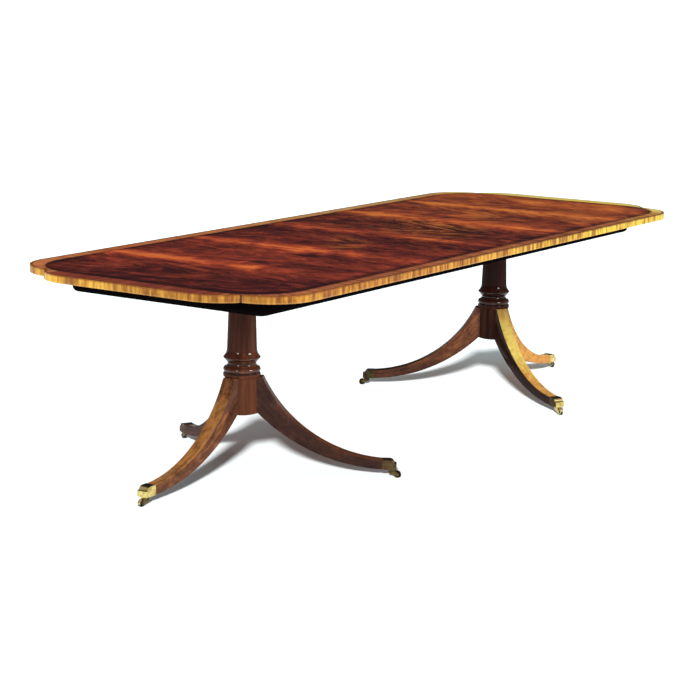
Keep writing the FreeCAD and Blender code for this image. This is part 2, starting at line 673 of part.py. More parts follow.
def mounting_bolts():
    """The four lag bolts of one block with their washers, about its pedestal."""
    bolts = []
    for x, y in bolt_places():
        seat = BLOCK_UNDERSIDE - WASHER_THICKNESS
        washer = Part.makeCylinder(WASHER_RADIUS, WASHER_THICKNESS, vec(x, y, seat))
        corners = [
            vec(
                x + BOLT_HEAD_RADIUS * math.cos(math.radians(angle)),
                y + BOLT_HEAD_RADIUS * math.sin(math.radians(angle)),
            )
            for angle in range(0, 360, 60)
        ]
        head = plan_prism(polygon_edges(corners), seat - BOLT_HEAD_HEIGHT, seat)
        shank = Part.makeCylinder(BOLT_RADIUS, BLOCK_THICKNESS + BOLT_IN_TOP, vec(x, y, BLOCK_UNDERSIDE))
        bolts.append(head.fuse([washer, shank]).removeSplitter())
    return Part.makeCompound(bolts)


def pedestal(side):
    """All pieces of one pedestal, with its three casters."""
    middle = -PEDESTAL_FROM_MIDDLE if side == "left" else PEDESTAL_FROM_MIDDLE
    bolts = mounting_bolts()
    one_leg = leg()
    legs = {}
    caps = []
    nodes = {}
    for name, angle in LEG_ANGLES[side].items():
        legs[name] = turned(one_leg, angle)
        caps.append(turned(toe_cap(), angle))
        nodes[f"{side}_{name}_leg"] = legs[name]
        nodes[f"{side}_{name}_caster_fork"] = turned(fork(), angle)
        nodes[f"{side}_{name}_caster_axle"] = turned(axle(), angle)
        nodes[f"{side}_{name}_caster_wheel"] = turned(wheel(), angle)
    nodes[f"{side}_column"] = column().cut(list(legs.values()))
    nodes[f"{side}_toe_caps"] = Part.makeCompound(caps)
    nodes[f"{side}_hub_plate"] = Part.makeCylinder(
        PLATE_RADIUS, PLATE_THICKNESS, vec(0, 0, HUB_BOTTOM - PLATE_THICKNESS)
    )
    nodes[f"{side}_mounting_block"] = mounting_block().cut(bolts)
    nodes[f"{side}_mounting_bolts"] = bolts
    for shape in nodes.values():
        shape.translate(vec(middle, 0, 0))
    return nodes


def turned(shape, angle):
    """Copy of a piece turned about its pedestal's axis."""
    copy = shape.copy()
    copy.rotate(ORIGIN, UP, angle)
    return copy


def table():
    """Every sub-part of the table under its node's name."""
    nodes = {}
    for side in ("left", "right"):
        nodes.update(half_top(side))
        nodes.update(half_skirt(side))
        nodes.update(leaf_top(side))
        nodes.update(pedestal(side))
    nodes.update(runners())
    return nodes


os.makedirs("parts", exist_ok=True)
for node, shape in table().items():
    shape.exportStep(f"parts/{node}.step")
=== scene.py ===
"""Looks of a double pedestal dining table: veneers, turned and sabre-legged pedestals, brass and a studio."""

import enum
import json
import logging
import math
from collections.abc import Iterable, Mapping, Sequence
from dataclasses import dataclass, field, replace
from typing import Any, ClassVar

import bpy
import numpy as np
from mathutils import Matrix, Vector


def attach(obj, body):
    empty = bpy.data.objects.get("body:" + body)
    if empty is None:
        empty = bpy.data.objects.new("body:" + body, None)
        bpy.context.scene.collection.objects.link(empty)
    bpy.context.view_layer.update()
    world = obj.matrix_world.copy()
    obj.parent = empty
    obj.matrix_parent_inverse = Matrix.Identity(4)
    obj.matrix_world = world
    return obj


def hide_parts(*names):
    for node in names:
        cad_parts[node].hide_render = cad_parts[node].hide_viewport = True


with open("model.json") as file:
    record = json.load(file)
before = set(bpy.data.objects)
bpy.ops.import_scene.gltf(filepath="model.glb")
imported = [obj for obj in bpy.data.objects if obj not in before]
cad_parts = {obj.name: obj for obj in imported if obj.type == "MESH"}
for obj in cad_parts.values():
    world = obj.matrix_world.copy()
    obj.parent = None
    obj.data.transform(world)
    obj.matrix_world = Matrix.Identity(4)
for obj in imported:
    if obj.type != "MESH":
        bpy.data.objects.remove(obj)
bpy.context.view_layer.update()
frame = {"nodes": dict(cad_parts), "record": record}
LOG = logging.getLogger("dining_table")
MM = 0.001

Rgba = tuple[float, float, float, float]
Stops = Sequence[tuple[float, Rgba]]


class Side(enum.Enum):
    """The two halves of the table, by their sign along the length."""

    LEFT = -1
    RIGHT = 1

    @property
    def label(self) -> str:
        """Word that the names of this half's nodes start with."""
        return self.name.lower()


class LegPlace(enum.Enum):
    """The three legs of a pedestal, by their angle from the inward direction, in degrees."""

    END = 180.0
    BACK = 60.0
    FRONT = -60.0

    @property
    def label(self) -> str:
        """Word for this leg in the names of its nodes."""
        return self.name.lower()


class Blend(enum.Enum):
    """Ways in which a second colour is laid over a first."""

    MIX = "MIX"
    MULTIPLY = "MULTIPLY"


def srgb(red: int, green: int, blue: int) -> Rgba:
    """Linear colour of an eight-bit display colour.

    Args:
        red: Red channel, 0 to 255.
        green: Green channel, 0 to 255.
        blue: Blue channel, 0 to 255.

    Returns:
        Linear red, green and blue with an alpha of 1.
    """
    shares = np.array([red, green, blue]) / 255.0
    linear = np.where(shares <= 0.04045, shares / 12.92, ((shares + 0.055) / 1.055) ** 2.4)
    return (*linear.tolist(), 1.0)


class Value:
    """A number or colour that varies over a surface: arithmetic on numbers adds Math nodes."""

    def __init__(self, graph: "Graph", socket: bpy.types.NodeSocket | None) -> None:
        """Wraps an output socket of the graph."""
        self.graph = graph
        self.socket = socket

    def op(self, operation: str, *others: "Value | float") -> "Value":
        """Math node of that operation over this value and the others."""
        return self.graph.math(operation, self, *others)

    def __add__(self, other: "Value | float") -> "Value":
        """Sum."""
        return self.op("ADD", other)

    def __radd__(self, other: float) -> "Value":
        """Sum with a number on the left."""
        return self.op("ADD", other)

    def __sub__(self, other: "Value | float") -> "Value":
        """Difference."""
        return self.op("SUBTRACT", other)

    def __rsub__(self, other: float) -> "Value":
        """Difference from a number."""
        return self.graph.math("SUBTRACT", other, self)

    def __mul__(self, other: "Value | float") -> "Value":
        """Product."""
        return self.op("MULTIPLY", other)

    def __rmul__(self, other: float) -> "Value":
        """Product with a number on the left."""
        return self.op("MULTIPLY", other)

    def __truediv__(self, other: "Value | float") -> "Value":
        """Quotient."""
        return self.op("DIVIDE", other)

    def __rtruediv__(self, other: float) -> "Value":
        """Quotient of a number by this value."""
        return self.graph.math("DIVIDE", other, self)

    def __abs__(self) -> "Value":
        """Size without sign."""
        return self.op("ABSOLUTE")

    def step(self, low: float, high: float) -> "Value":
        """Smooth rise from 0 at low to 1 at high, or a fall where low is the larger.

        Args:
            low: Value at which the result is 0.
            high: Value at which the result is 1.

        Returns:
            The eased share, kept between 0 and 1.
        """
        return self.graph.add(
            "MapRange",
            {"interpolation_type": "SMOOTHSTEP"},
            {"Value": self, "From Min": low, "From Max": high},
        )


Axes = tuple[Value, Value, Value]


class Graph:
    """Node tree of a material or of the surroundings, filled through a single method."""

    def __init__(self, tree: bpy.types.NodeTree) -> None:
        """Empties a node tree and takes it over."""
        self.tree = tree
        self.tree.nodes.clear()

    def add(
        self,
        kind: str,
        settings: Mapping[str, Any] | None = None,
        inputs: Mapping[str | int, Any] | None = None,
        out: str | int = 0,
    ) -> Value:
        """Adds a node, sets it and joins its sockets.

        Args:
            kind: Node type without its ShaderNode prefix.
            settings: Properties of the node, set first; "stops" fills a colour ramp.
            inputs: Values or links by socket name or number.
            out: Output socket that is given back.

        Returns:
            The wrapped output socket.
        """
        node = self.tree.nodes.new(f"ShaderNode{kind}")
        for key, value in (settings or {}).items():
            if key == "stops":
                self._fill_ramp(node.color_ramp, value)
            else:
                setattr(node, key, value)
        for key, value in (inputs or {}).items():
            if isinstance(value, Value):
                self.tree.links.new(value.socket, node.inputs[key])
            else:
                node.inputs[key].default_value = value
        return Value(self, node.outputs[out] if node.outputs else None)

    @staticmethod
    def _fill_ramp(ramp: bpy.types.ColorRamp, stops: Stops) -> None:
        """Gives a colour ramp its stops.

        Args:
            ramp: The ramp.
            stops: Place and colour of each stop, from the lowest up.
        """
        while len(ramp.elements) < len(stops):
            ramp.elements.new(1.0)
        for element, (place, colour) in zip(ramp.elements, stops):
            element.position = place
            element.color = colour

    def math(self, operation: str, *values: Value | float) -> Value:
        """Math node over up to three values or numbers."""
        return self.add("Math", {"operation": operation}, dict(enumerate(values)))

    def axes(self, out: str) -> Axes:
        """X, Y and Z of one of the texture coordinates.

        Args:
            out: Output of the coordinates node.

        Returns:
            The three values.
        """
        split = self.add("SeparateXYZ", inputs={0: self.add("TexCoord", out=out)})
        outputs = split.socket.node.outputs
        return tuple(Value(self, outputs[axis]) for axis in range(3))

    def place(self) -> Axes:
        """Place on the object in metres."""
        return self.axes("Object")

    def facing(self) -> Axes:
        """Direction that the surface faces on its own piece."""
        return self.axes("Normal")

    def noise(
        self,
        x: Value | float,
        y: Value | float,
        z: Value | float,
        detail: float = 4.0,
        roughness: float = 0.55,
        distortion: float = 0.0,
    ) -> Value:
        """Noise of unit grain, from 0 to 1, over three scaled coordinates.

        Args:
            x: First coordinate, already scaled.
            y: Second coordinate.
            z: Third coordinate.
            detail: Number of finer layers.
            roughness: Weight of each finer layer.
            distortion: How far the noise bends itself.

        Returns:
            The noise value.
        """
        inputs = {
            "Vector": self.add("CombineXYZ", inputs={0: x, 1: y, 2: z}),
            "Scale": 1.0,
            "Detail": detail,
            "Roughness": roughness,
            "Distortion": distortion,
        }
        return self.add("TexNoise", inputs=inputs)

    def ramp(self, share: Value, stops: Stops) -> Value:
        """Colour ramp over a share."""
        return self.add("ValToRGB", {"stops": stops}, {0: share})

    def blend(
        self,
        share: Value | float,
        first: Value | Rgba,
        second: Value | Rgba,
        mode: Blend = Blend.MIX,
    ) -> Value:
        """Mix of two colours.

        Args:
            share: 0 for the first colour, 1 for the second.
            first: First colour.
            second: Second colour.
            mode: How the second colour is laid over the first.

        Returns:
            The mixed colour.
        """
        settings = {"data_type": "RGBA", "blend_type": mode.value}
        return self.add("Mix", settings, {0: share, 6: first, 7: second}, out=2)

    def surface(
        self,
        colour: Value,
        roughness: Value | float,
        height: Value | None = None,
        relief: float = 0.0,
        fixed: Mapping[str, Any] | None = None,
        metallic: Value | float = 0.0,
    ) -> None:
        """Principled surface of the material.

        Args:
            colour: Base colour.
            roughness: Roughness.
            height: Height that dents or raises the surface, 0 to 1.
            relief: Depth in metres of that height, negative for dents.
            fixed: Values of other sockets.
            metallic: Share of metal.
        """
        inputs = {"Base Color": colour, "Roughness": roughness, "Metallic": metallic, **(fixed or {})}
        if height is not None:
            bump = {"Strength": 1.0, "Distance": relief, "Height": height}
            inputs["Normal"] = self.add("Bump", inputs=bump)
        shader = self.add("BsdfPrincipled", inputs=inputs)
        self.add("OutputMaterial", inputs={"Surface": shader})


def new_material(name: str) -> bpy.types.Material:
    """Material with a node tree.

    Args:
        name: Name of the material.

    Returns:
        The new material.
    """
    material = bpy.data.materials.new(name)
    material.use_nodes = True
    return material


def varnish(weight: Value | float, roughness: float) -> dict[str, Any]:
    """Sockets of wood under a clear varnish, which alone gives it its gloss."""
    return {"Specular IOR Level": 0.0, "Coat Weight": weight, "Coat Roughness": roughness}


@dataclass(frozen=True)
class TableSizes:
    """Sizes in metres that the veneers and pieces take their places from.

    The outline of the top joins two boxes with rounded corners: a long narrow one, whose ends are the noses,
    and a shorter wide one, whose corners are the lobes. A notch lies between a nose and a lobe.
    """

    half_length: float = 1.524
    half_width: float = 0.5715
    height: float = 0.756
    leaf: float = 0.508
    band_end: float = 0.080
    band_side: float = 0.060
    field_corner: float = 0.195
    notch: tuple[float, float] = (1.444, 0.411)
    rim_radius: float = 0.165
    lobe_setback: float = 0.080
    nose_half: float = 0.4345
    pedestal: float = 0.888


SIZES = TableSizes()


def past_box(x: Value, y: Value, half_x: float, half_y: float, radius: float) -> Value:
    """Distance from the rim of a box with rounded corners, negative within.

    It is the length of what lies past the middles of the corners on both axes, or the nearer side's distance
    inside them, less the radius of the corners.

    Args:
        x: Place along the length.
        y: Place across the width.
        half_x: Half of the box's length.
        half_y: Half of its width.
        radius: Radius of its corners.

    Returns:
        The distance in metres.
    """
    out_x, out_y = abs(x) - (half_x - radius), abs(y) - (half_y - radius)
    past_x, past_y = out_x.op("MAXIMUM", 0.0), out_y.op("MAXIMUM", 0.0)
    corner = (past_x * past_x + past_y * past_y).op("SQRT")
    return corner + out_x.op("MAXIMUM", out_y).op("MINIMUM", 0.0) - radius


def past_field(x: Value, y: Value) -> Value:
    """Distance from the rim of the figured field, negative on it."""
    half_x, half_y = SIZES.half_length - SIZES.band_end, SIZES.half_width - SIZES.band_side
    return past_box(x, y, half_x, half_y, SIZES.field_corner)


def past_rim(x: Value, y: Value) -> Value:
    """Distance from the rim of the top, negative on it: the lesser of the distances from its two boxes.

    Args:
        x: Place along the length.
        y: Place across the width.

    Returns:
        The distance in metres.
    """
    lobes = past_box(x, y, SIZES.half_length - SIZES.lobe_setback, SIZES.half_width, SIZES.rim_radius)
    nose = past_box(x, y, SIZES.half_length, SIZES.nose_half, SIZES.rim_radius)
    return lobes.op("MINIMUM", nose)


@dataclass(frozen=True)
class Finish:
    """A finish: the record's slot that it dresses, and how its material is painted."""

    slot: str = ""

    def paint(self, graph: Graph) -> None:
        """Fills the material's nodes."""
        raise NotImplementedError

    def material(self) -> bpy.types.Material:
        """Makes the finish's material.

        Returns:
            The painted material.
        """
        material = new_material(self.slot)
        self.paint(Graph(material.node_tree))
        return material


@dataclass(frozen=True)
class Figure:
    """What varies over the flame veneer: places, shares of the width, and noises that follow the growth.

    Forward is 0 at the back edge and 1 at the front. Fan is the distance from the nearest seam, counted in
    widths of the bright grain along it.
    """

    x: Value
    y: Value
    forward: Value
    far_left: Value
    fan: Value
    pools: Value
    mottle: Value
    feathers: Value
    streaks: Value
    fibre: Value


@dataclass(frozen=True)
class Plume:
    """A golden plume: the place of its middle and its half sizes in metres, and how strongly it shows."""

    x: float
    y: float
    half_length: float
    half_width: float
    strength: float


@dataclass(frozen=True)
class FlameVeneer(Finish):
    """Crotch mahogany laid in mirrored leaves: bright straight grain at the seams, dark figure between.

    The leans are the cosine and sine of the direction in which feathers and plumes run. A drift is a step of
    brightness along the table: where it starts, where it ends and how high it is.
    """

    slot: str = "figured_mahogany"
    seam_back: float = 0.040
    seam_front: float = 0.082
    seam_far_left: float = 0.016
    end_crowding: float = 0.0855
    feather_lean: tuple[float, float] = (0.91, 0.41)
    plume_lean: tuple[float, float] = (0.83, 0.55)
    plumes: tuple[Plume, ...] = (
        Plume(0.27, -0.06, 0.44, 0.22, 0.5),
        Plume(-0.30, -0.04, 0.26, 0.10, 0.3),
        Plume(0.78, 0.0, 0.30, 0.16, 0.4),
        Plume(0.95, -0.36, 0.22, 0.10, 0.5),
    )
    base_tone: float = 0.30
    drifts: tuple[tuple[float, float, float], ...] = (
        (-0.5, 0.6, 0.07),
        (0.3, 1.2, 0.11),
        (1.05, 1.3, 0.28),
        (-0.5, -0.8, 0.03),
    )
    tones: Stops = (
        (0.00, srgb(44, 16, 19)),
        (0.22, srgb(76, 28, 26)),
        (0.40, srgb(114, 44, 34)),
        (0.56, srgb(148, 60, 41)),
        (0.74, srgb(190, 80, 46)),
        (1.00, srgb(230, 118, 60)),
    )
    # Painted warm light towards the right, as a tint laid over the wood.
    warmth: Rgba = (1.02, 1.38, 1.06, 1.0)
    fleck: Rgba = srgb(196, 124, 60)
    gold: Rgba = srgb(224, 136, 62)
    pore: Rgba = srgb(40, 17, 15)
    pore_depth: float = 0.00002
    polish: float = 0.3

    def figure(self, graph: Graph) -> Figure:
        """Places and noises that the figure of the wood is worked out from.

        The distance from the nearest seam runs up and down between the seams, which crowd a little towards
        the ends of the table and waver.

        Args:
            graph: Node tree of the material.

        Returns:
            The figure.
        """
        x, y, _ = graph.place()
        forward = (SIZES.half_width - y) / (2 * SIZES.half_width)
        far_left = x.step(-0.6, -0.9)
        waver = graph.noise(x * 2.6, y * 3.1, 4.0, detail=3.0) - 0.5
        past_leaf = (abs(x) - SIZES.leaf).op("MAXIMUM", 0.0)
        crowded = abs(x) + past_leaf * self.end_crowding + waver * 0.04
        from_seam = crowded.op("PINGPONG", SIZES.leaf / 2)
        widening = (self.seam_front - self.seam_back) * forward
        fan = from_seam / (self.seam_back + far_left * self.seam_far_left + widening)
        pools = graph.noise(x * 4.2, y * 3.4, 9.0, detail=5.0, roughness=0.62, distortion=1.4)
        mottle = graph.noise(x * 15.0, y * 10.0, 2.0, detail=6.0, roughness=0.68, distortion=0.9)
        along, across = self.feather_lean
        sweep = from_seam * along + y * across + (pools - 0.5) * 0.10
        reach = from_seam * across - y * along
        feathers = graph.noise(
            sweep * 22.0, reach * 6.0, x * 1.9, detail=6.0, roughness=0.66, distortion=0.7
        )
        streaks = graph.noise(fan * 1.7, y * 3.4, x * 1.3, detail=7.0, roughness=0.66, distortion=0.6)
        fibre = graph.noise(fan * 9.0, y * 7.0, x * 3.0, detail=3.0, roughness=0.6)
        return Figure(x, y, forward, far_left, fan, pools, mottle, feathers, streaks, fibre)

    def tone(self, figure: Figure) -> Value:
        """Tone of the wood, from dark at 0 to bright at 1.

        A glow falls off with the distance from the seams, each noise swings the tone about its own middle, a
        slow wave and the drifts change it along the table, and it darkens at the rim and the left front.

        Args:
            figure: Places and noises of the wood.

        Returns:
            The tone.
        """
        x, forward, fan = figure.x, figure.forward, figure.fan
        fading = figure.far_left * (0.46 - forward) * 0.55
        strength = 0.27 + abs(x) * 0.11 + fading + (figure.pools - 0.5) * 0.3
        glow = (fan.step(1.9, 0.0) + fan.step(0.6, 0.0) * 0.3) * abs(x).step(1.32, 1.20)
        tone = self.base_tone + glow * strength.op("MAXIMUM", 0.12)
        swings = (
            (figure.pools, 0.75),
            (figure.mottle, 0.7),
            (figure.feathers, 1.1),
            (figure.streaks, 0.7),
            (figure.fibre, 0.3),
            (forward, -0.10),
        )
        for share, weight in swings:
            tone = tone + (share - 0.5) * weight
        wave = (x + SIZES.leaf * 1.5) * (2 * math.pi / (3 * SIZES.leaf))
        tone = tone + wave.op("COSINE") * 0.07
        for start, end, height in self.drifts:
            tone = tone + x.step(start, end) * height
        by_rim = past_field(x, figure.y).step(-0.045, 0.0) * 0.22
        return tone - by_rim - forward * x.step(-0.9, -1.2) * 0.08

    def gild(self, graph: Graph, figure: Figure, colour: Value) -> Value:
        """Lays golden feathers over the colour, in the patches of the plumes.

        A patch is the ellipse out^2 + aside^2 about its middle, on axes that lean, with its border frayed by
        the pools.

        Args:
            graph: Node tree of the material.
            figure: Places and noises of the wood.
            colour: Colour of the wood so far.

        Returns:
            The gilded colour.
        """
        along, across = self.plume_lean
        feathered = figure.feathers.step(0.44, 0.64)
        for plume in self.plumes:
            from_x, from_y = figure.x - plume.x, figure.y - plume.y
            out = (from_x * along + from_y * across) / plume.half_length
            aside = (from_y * along - from_x * across) / plume.half_width
            frayed = out * out + aside * aside + (figure.pools - 0.5) * 1.6
            patch = frayed.step(1.2, -0.1) * feathered
            colour = graph.blend(patch * plume.strength, colour, self.gold)
        return colour

    def paint(self, graph: Graph) -> None:
        """Colours the tone, with painted warm light to the right, and adds flecks, plumes and pores.

        Args:
            graph: Node tree of the material.
        """
        figure = self.figure(graph)
        x, y, fan = figure.x, figure.y, figure.fan
        colour = graph.ramp(self.tone(figure), self.tones)
        # Painted warm light: the wood grows yellower towards the right.
        warm_lit = graph.blend(1.0, colour, self.warmth, Blend.MULTIPLY)
        colour = graph.blend(x.step(-0.3, 1.2), colour, warm_lit)
        flecks = graph.noise(fan * 3.5, y * 12.0, x * 4.0, detail=4.0).step(0.54, 0.70)
        flecks = flecks * figure.pools.step(0.48, 0.62)
        colour = graph.blend(flecks * x.step(-0.6, 0.2) * 0.6, colour, self.fleck)
        colour = self.gild(graph, figure, colour)
        pores = graph.noise(x * 420.0, y * 26.0, 3.0, detail=1.0).step(0.60, 0.74)
        colour = graph.blend(pores * 0.25, colour, self.pore)
        roughness = 0.30 + figure.streaks * 0.10
        graph.surface(colour, roughness, pores, -self.pore_depth, varnish(self.polish, 0.06))


@dataclass(frozen=True)
class Stripes:
    """What varies over a banded veneer: places, its course round the rim, and the tone of its stripes.

    Quarter is a number that differs between the four quarters of the top.
    """

    x: Value
    y: Value
    z: Value
    rim: Value
    quarter: Value
    tone: Value


@dataclass(frozen=True)
class BandedVeneer(Finish):
    """Satinwood laid across the edge: its grain runs square to the rim, all the way round."""

    pitch: float = 0.016
    piece: float = 0.34
    contrast: float = 1.7
    dark: Rgba = srgb(108, 56, 36)
    middle: Rgba = srgb(160, 92, 58)
    light: Rgba = srgb(198, 124, 76)
    # Painted light from the right.
    sunny: Rgba = srgb(244, 198, 92)
    # Colours of the painted shade along the upper edge: at the left end and away from it.
    line: tuple[Rgba, Rgba] = (srgb(128, 68, 22), srgb(86, 40, 16))
    relief: float = 0.00002

    @staticmethod
    def along_rim(x: Value, y: Value) -> tuple[Value, Value]:
        """Distance along the rim, and a number that differs between the quarters of the top.

        The rim is a straight side, a quarter turn and a straight end in each quarter of the top, so the
        distance is the length before the turn, the turned angle times a radius, and the length after it.

        Args:
            x: Place along the length.
            y: Place across the width.

        Returns:
            The distance in metres, and the quarter's number.
        """
        past_side = abs(x) - (SIZES.half_length - SIZES.band_end - SIZES.field_corner)
        past_end = abs(y) - (SIZES.half_width - SIZES.band_side - SIZES.field_corner)
        turn = past_end.op("MAXIMUM", 0.0).op("ARCTAN2", past_side.op("MAXIMUM", 0.0))
        rim = turn * (SIZES.field_corner + SIZES.band_side)
        rim = rim - past_side.op("MINIMUM", 0.0) + past_end.op("MINIMUM", 0.0)
        return rim, x.op("SIGN") * 3.1 + y.op("SIGN") * 7.7

    def rim_line(self, graph: Graph, x: Value) -> Value:
        """Colour of the painted shade along the upper edge, darker away from the left end."""
        return graph.blend(x.step(-1.3, -0.6), *self.line)

    def tint(self, graph: Graph, stripes: Stripes, colour: Value) -> Value:
        """Colour with what changes from side to side and marks the edges, with painted light and shade among
        it.
        """
        raise NotImplementedError

    def paint(self, graph: Graph) -> None:
        """Stripes square to the rim, drifting in tone from piece to piece, and tinted from side to side with
        painted light and shade among the tints.

        Args:
            graph: Node tree of the material.
        """
        x, y, z = graph.place()
        rim, quarter = self.along_rim(x, y)
        ribs = graph.noise(rim / self.pitch, quarter, z * 9.0, detail=3.0, roughness=0.65)
        drift = graph.noise(rim / self.piece, quarter * 2.0, 1.5, detail=1.0)
        flecks = graph.noise(rim * 900.0, x * 60.0 + y * 60.0, z * 60.0, detail=1.0)
        tone = 0.5 + (ribs - 0.5) * self.contrast + (drift - 0.5) * 0.8 + (flecks - 0.5) * 0.25
        colour = graph.ramp(tone, ((0.12, self.dark), (0.5, self.middle), (0.9, self.light)))
        colour = self.tint(graph, Stripes(x, y, z, rim, quarter, tone), colour)
        graph.surface(colour, 0.30 + ribs * 0.14, ribs, self.relief, varnish(0.35, 0.08))


@dataclass(frozen=True)
class Crossband(BandedVeneer):
    """The crossband on the top.

    Pairs of colours are the darker and the lighter stripes of a stretch. Pairs of metres are where a share
    is 0 and where it is 1: on an end piece, on the strip beside the field and on the line of painted shade
    inside the rim.
    """

    slot: str = "band_satinwood"
    end_piece_x: tuple[float, float] = (1.405, 1.42)
    end_piece_y: tuple[float, float] = (0.352, 0.344)
    strip: tuple[float, float] = (0.018, 0.009)
    line_inset: tuple[float, float] = (-0.0125, -0.0095)
    # Painted light and reflection: orange to gold behind and lemon at the right end. Painted shade: ruddy on
    # the left end piece.
    orange: tuple[Rgba, Rgba] = (srgb(184, 92, 48), srgb(216, 136, 82))
    gold: tuple[Rgba, Rgba] = (srgb(210, 146, 80), srgb(244, 196, 122))
    lemon: tuple[Rgba, Rgba] = (srgb(255, 208, 80), srgb(255, 236, 126))
    ruddy: tuple[Rgba, Rgba] = (srgb(104, 40, 34), srgb(150, 66, 46))
    toned: Rgba = srgb(78, 30, 22)

    def tint(self, graph: Graph, stripes: Stripes, colour: Value) -> Value:
        """Painted light and shade from side to side: painted shade makes the left end piece ruddy, and
        painted light and reflection make the stripes orange to gold behind and yellow on the right.

        A strip beside the field is toned darker, most of all in front, and a dark line of painted shade runs
        inside the rim.

        Args:
            graph: Node tree of the material.
            stripes: Places and tone of the stripes.
            colour: Colour of the plain stripes.

        Returns:
            The tinted colour.
        """
        x, y = stripes.x, stripes.y
        streak = stripes.tone.step(0.1, 0.9)
        # Painted light from the right: the stripes grow yellower towards the right end, and lemon at the end
        # itself.
        sunny = graph.blend(streak, self.middle, self.sunny)
        colour = graph.blend(x.step(0.7, 1.5) * 0.5, colour, sunny)
        # Painted light and reflection behind: orange to gold stripes on the far side.
        orange, gold = graph.blend(streak, *self.orange), graph.blend(streak, *self.gold)
        behind = graph.blend(x.step(-0.6, 0.7), orange, gold)
        colour = graph.blend(y.step(0.40, 0.48) * 0.85, colour, behind)
        colour = graph.blend(x.step(1.28, 1.40), colour, graph.blend(streak, *self.lemon))
        # Painted shade on the left end piece: ruddy stripes.
        end_piece = abs(x).step(*self.end_piece_x) * abs(y).step(*self.end_piece_y)
        shaded_left_end = end_piece * x.step(0.2, -0.2)
        colour = graph.blend(shaded_left_end * 0.9, colour, graph.blend(streak, *self.ruddy))
        by_field = past_field(x, y).step(*self.strip) * (0.25 + y.step(0.0, -0.2) * 0.5)
        colour = graph.blend(by_field, colour, self.toned)
        # Painted shade: a dark line on the top just inside its rim, along the arris.
        by_rim = past_rim(x, y).step(*self.line_inset)
        return graph.blend(by_rim * 0.8, colour, self.rim_line(graph, x))


@dataclass(frozen=True)
class EdgeLipping(BandedVeneer):
    """The lipping on the outer edge.

    A pair of colours is the darker and the lighter stripes of a stretch. Pairs of metres are where a share is
    0 and where it is 1: below the top, on the line of painted shade and on the painted highlight of the lower
                         rim, and round the middle of a notch, where shade is painted.
    """

    slot: str = "edge_satinwood"
    line_depth: tuple[float, float] = (0.0050, 0.0030)
    lower_rim_depth: tuple[float, float] = (0.0195, 0.0225)
    notch_reach: tuple[float, float] = (0.0065, 0.003)
    pitch: float = 0.015
    contrast: float = 2.5
    dark: Rgba = srgb(112, 60, 15)
    middle: Rgba = srgb(162, 102, 33)
    light: Rgba = srgb(198, 142, 54)
    # Painted light from the right, on the lighter and the darker stripes.
    sunny: Rgba = srgb(238, 204, 64)
    sunny_dark: Rgba = srgb(156, 102, 24)
    # Paler colours of the painted light on the left end.
    pale: tuple[Rgba, Rgba] = (srgb(204, 134, 48), srgb(252, 196, 78))
    ruddy: Rgba = srgb(112, 50, 32)
    # Painted highlight on the lower rim.
    lower_rim: Rgba = srgb(232, 192, 130)
    # Painted shade in each notch.
    notch_line: Rgba = srgb(64, 26, 14)

    def tint(self, graph: Graph, stripes: Stripes, colour: Value) -> Value:
        """Painted light to the right and on the left end, and ruddy in patches beside it.

        The upper edge has a dark line of painted shade, a painted highlight makes the lower rim paler, and a
        line of painted shade stands in each notch.

        Args:
            graph: Node tree of the material.
            stripes: Places and tone of the stripes.
            colour: Colour of the plain stripes.

        Returns:
            The tinted colour.
        """
        x, y, tone = stripes.x, stripes.y, stripes.tone
        # Painted light from the right: the stripes on the right part of the edge are yellower.
        sunny = graph.blend(tone.step(0.15, 0.75), self.sunny_dark, self.sunny)
        colour = graph.blend(x.step(-0.5, 0.8) * 0.7 + x.step(1.36, 1.5) * 0.2, colour, sunny)
        # Painted light on the left end, strongest towards the back.
        lit_left_end = x.step(-1.40, -1.48) * (0.12 + y.step(-0.10, 0.25) * 0.65)
        colour = graph.blend(lit_left_end, colour, graph.blend(tone.step(0.1, 0.8), *self.pale))
        patches = graph.noise(stripes.rim / (self.piece * 0.25), stripes.quarter * 3.0, 5.5, detail=2.0)
        patches = patches.step(0.55, 0.66) * x.step(-0.8, -1.2)
        colour = graph.blend(patches * 0.7, colour, self.ruddy)
        below = SIZES.height - stripes.z
        # Painted highlight: the lower rim of the edge is paler.
        colour = graph.blend(below.step(*self.lower_rim_depth) * 0.15, colour, self.lower_rim)
        # Painted shade: a dark line along the top of the edge, under the arris.
        colour = graph.blend(below.step(*self.line_depth) * 0.6, colour, self.rim_line(graph, x))
        # Painted shade in the hollow of each notch: a dark line round its middle.
        notch_x, notch_y = abs(x) - SIZES.notch[0], abs(y) - SIZES.notch[1]
        notch = (notch_x * notch_x + notch_y * notch_y).op("SQRT").step(*self.notch_reach)
        return graph.blend(notch * 0.9, colour, self.notch_line)


@dataclass(frozen=True)
class PlainWood(Finish):
    """Straight-grained wood, with streaks along one axis of the object."""

    dark: Rgba = srgb(40, 22, 18)
    light: Rgba = srgb(70, 40, 30)
    stretch: tuple[float, float, float] = (3.0, 60.0, 60.0)
    gloss: float = 0.35
    specular: float = 0.3
    relief: float = 0.00004

    def paint(self, graph: Graph) -> None:
        """Streaks and finer fibres over stretched coordinates.

        Args:
            graph: Node tree of the material.
        """
        x, y, z = graph.place()
        sx, sy, sz = self.stretch
        streaks = graph.noise(x * sx, y * sy, z * sz, detail=5.0, roughness=0.6, distortion=0.3)
        fibres = graph.noise(x * sx * 5.0, y * sy * 6.0, z * sz * 6.0, detail=2.0)
        tone = streaks * 0.75 + fibres * 0.25
        colour = graph.ramp(tone, ((0.28, self.dark), (0.72, self.light)))
        roughness = self.gloss + fibres * 0.15
        graph.surface(colour, roughness, fibres, self.relief, {"Specular IOR Level": self.specular})


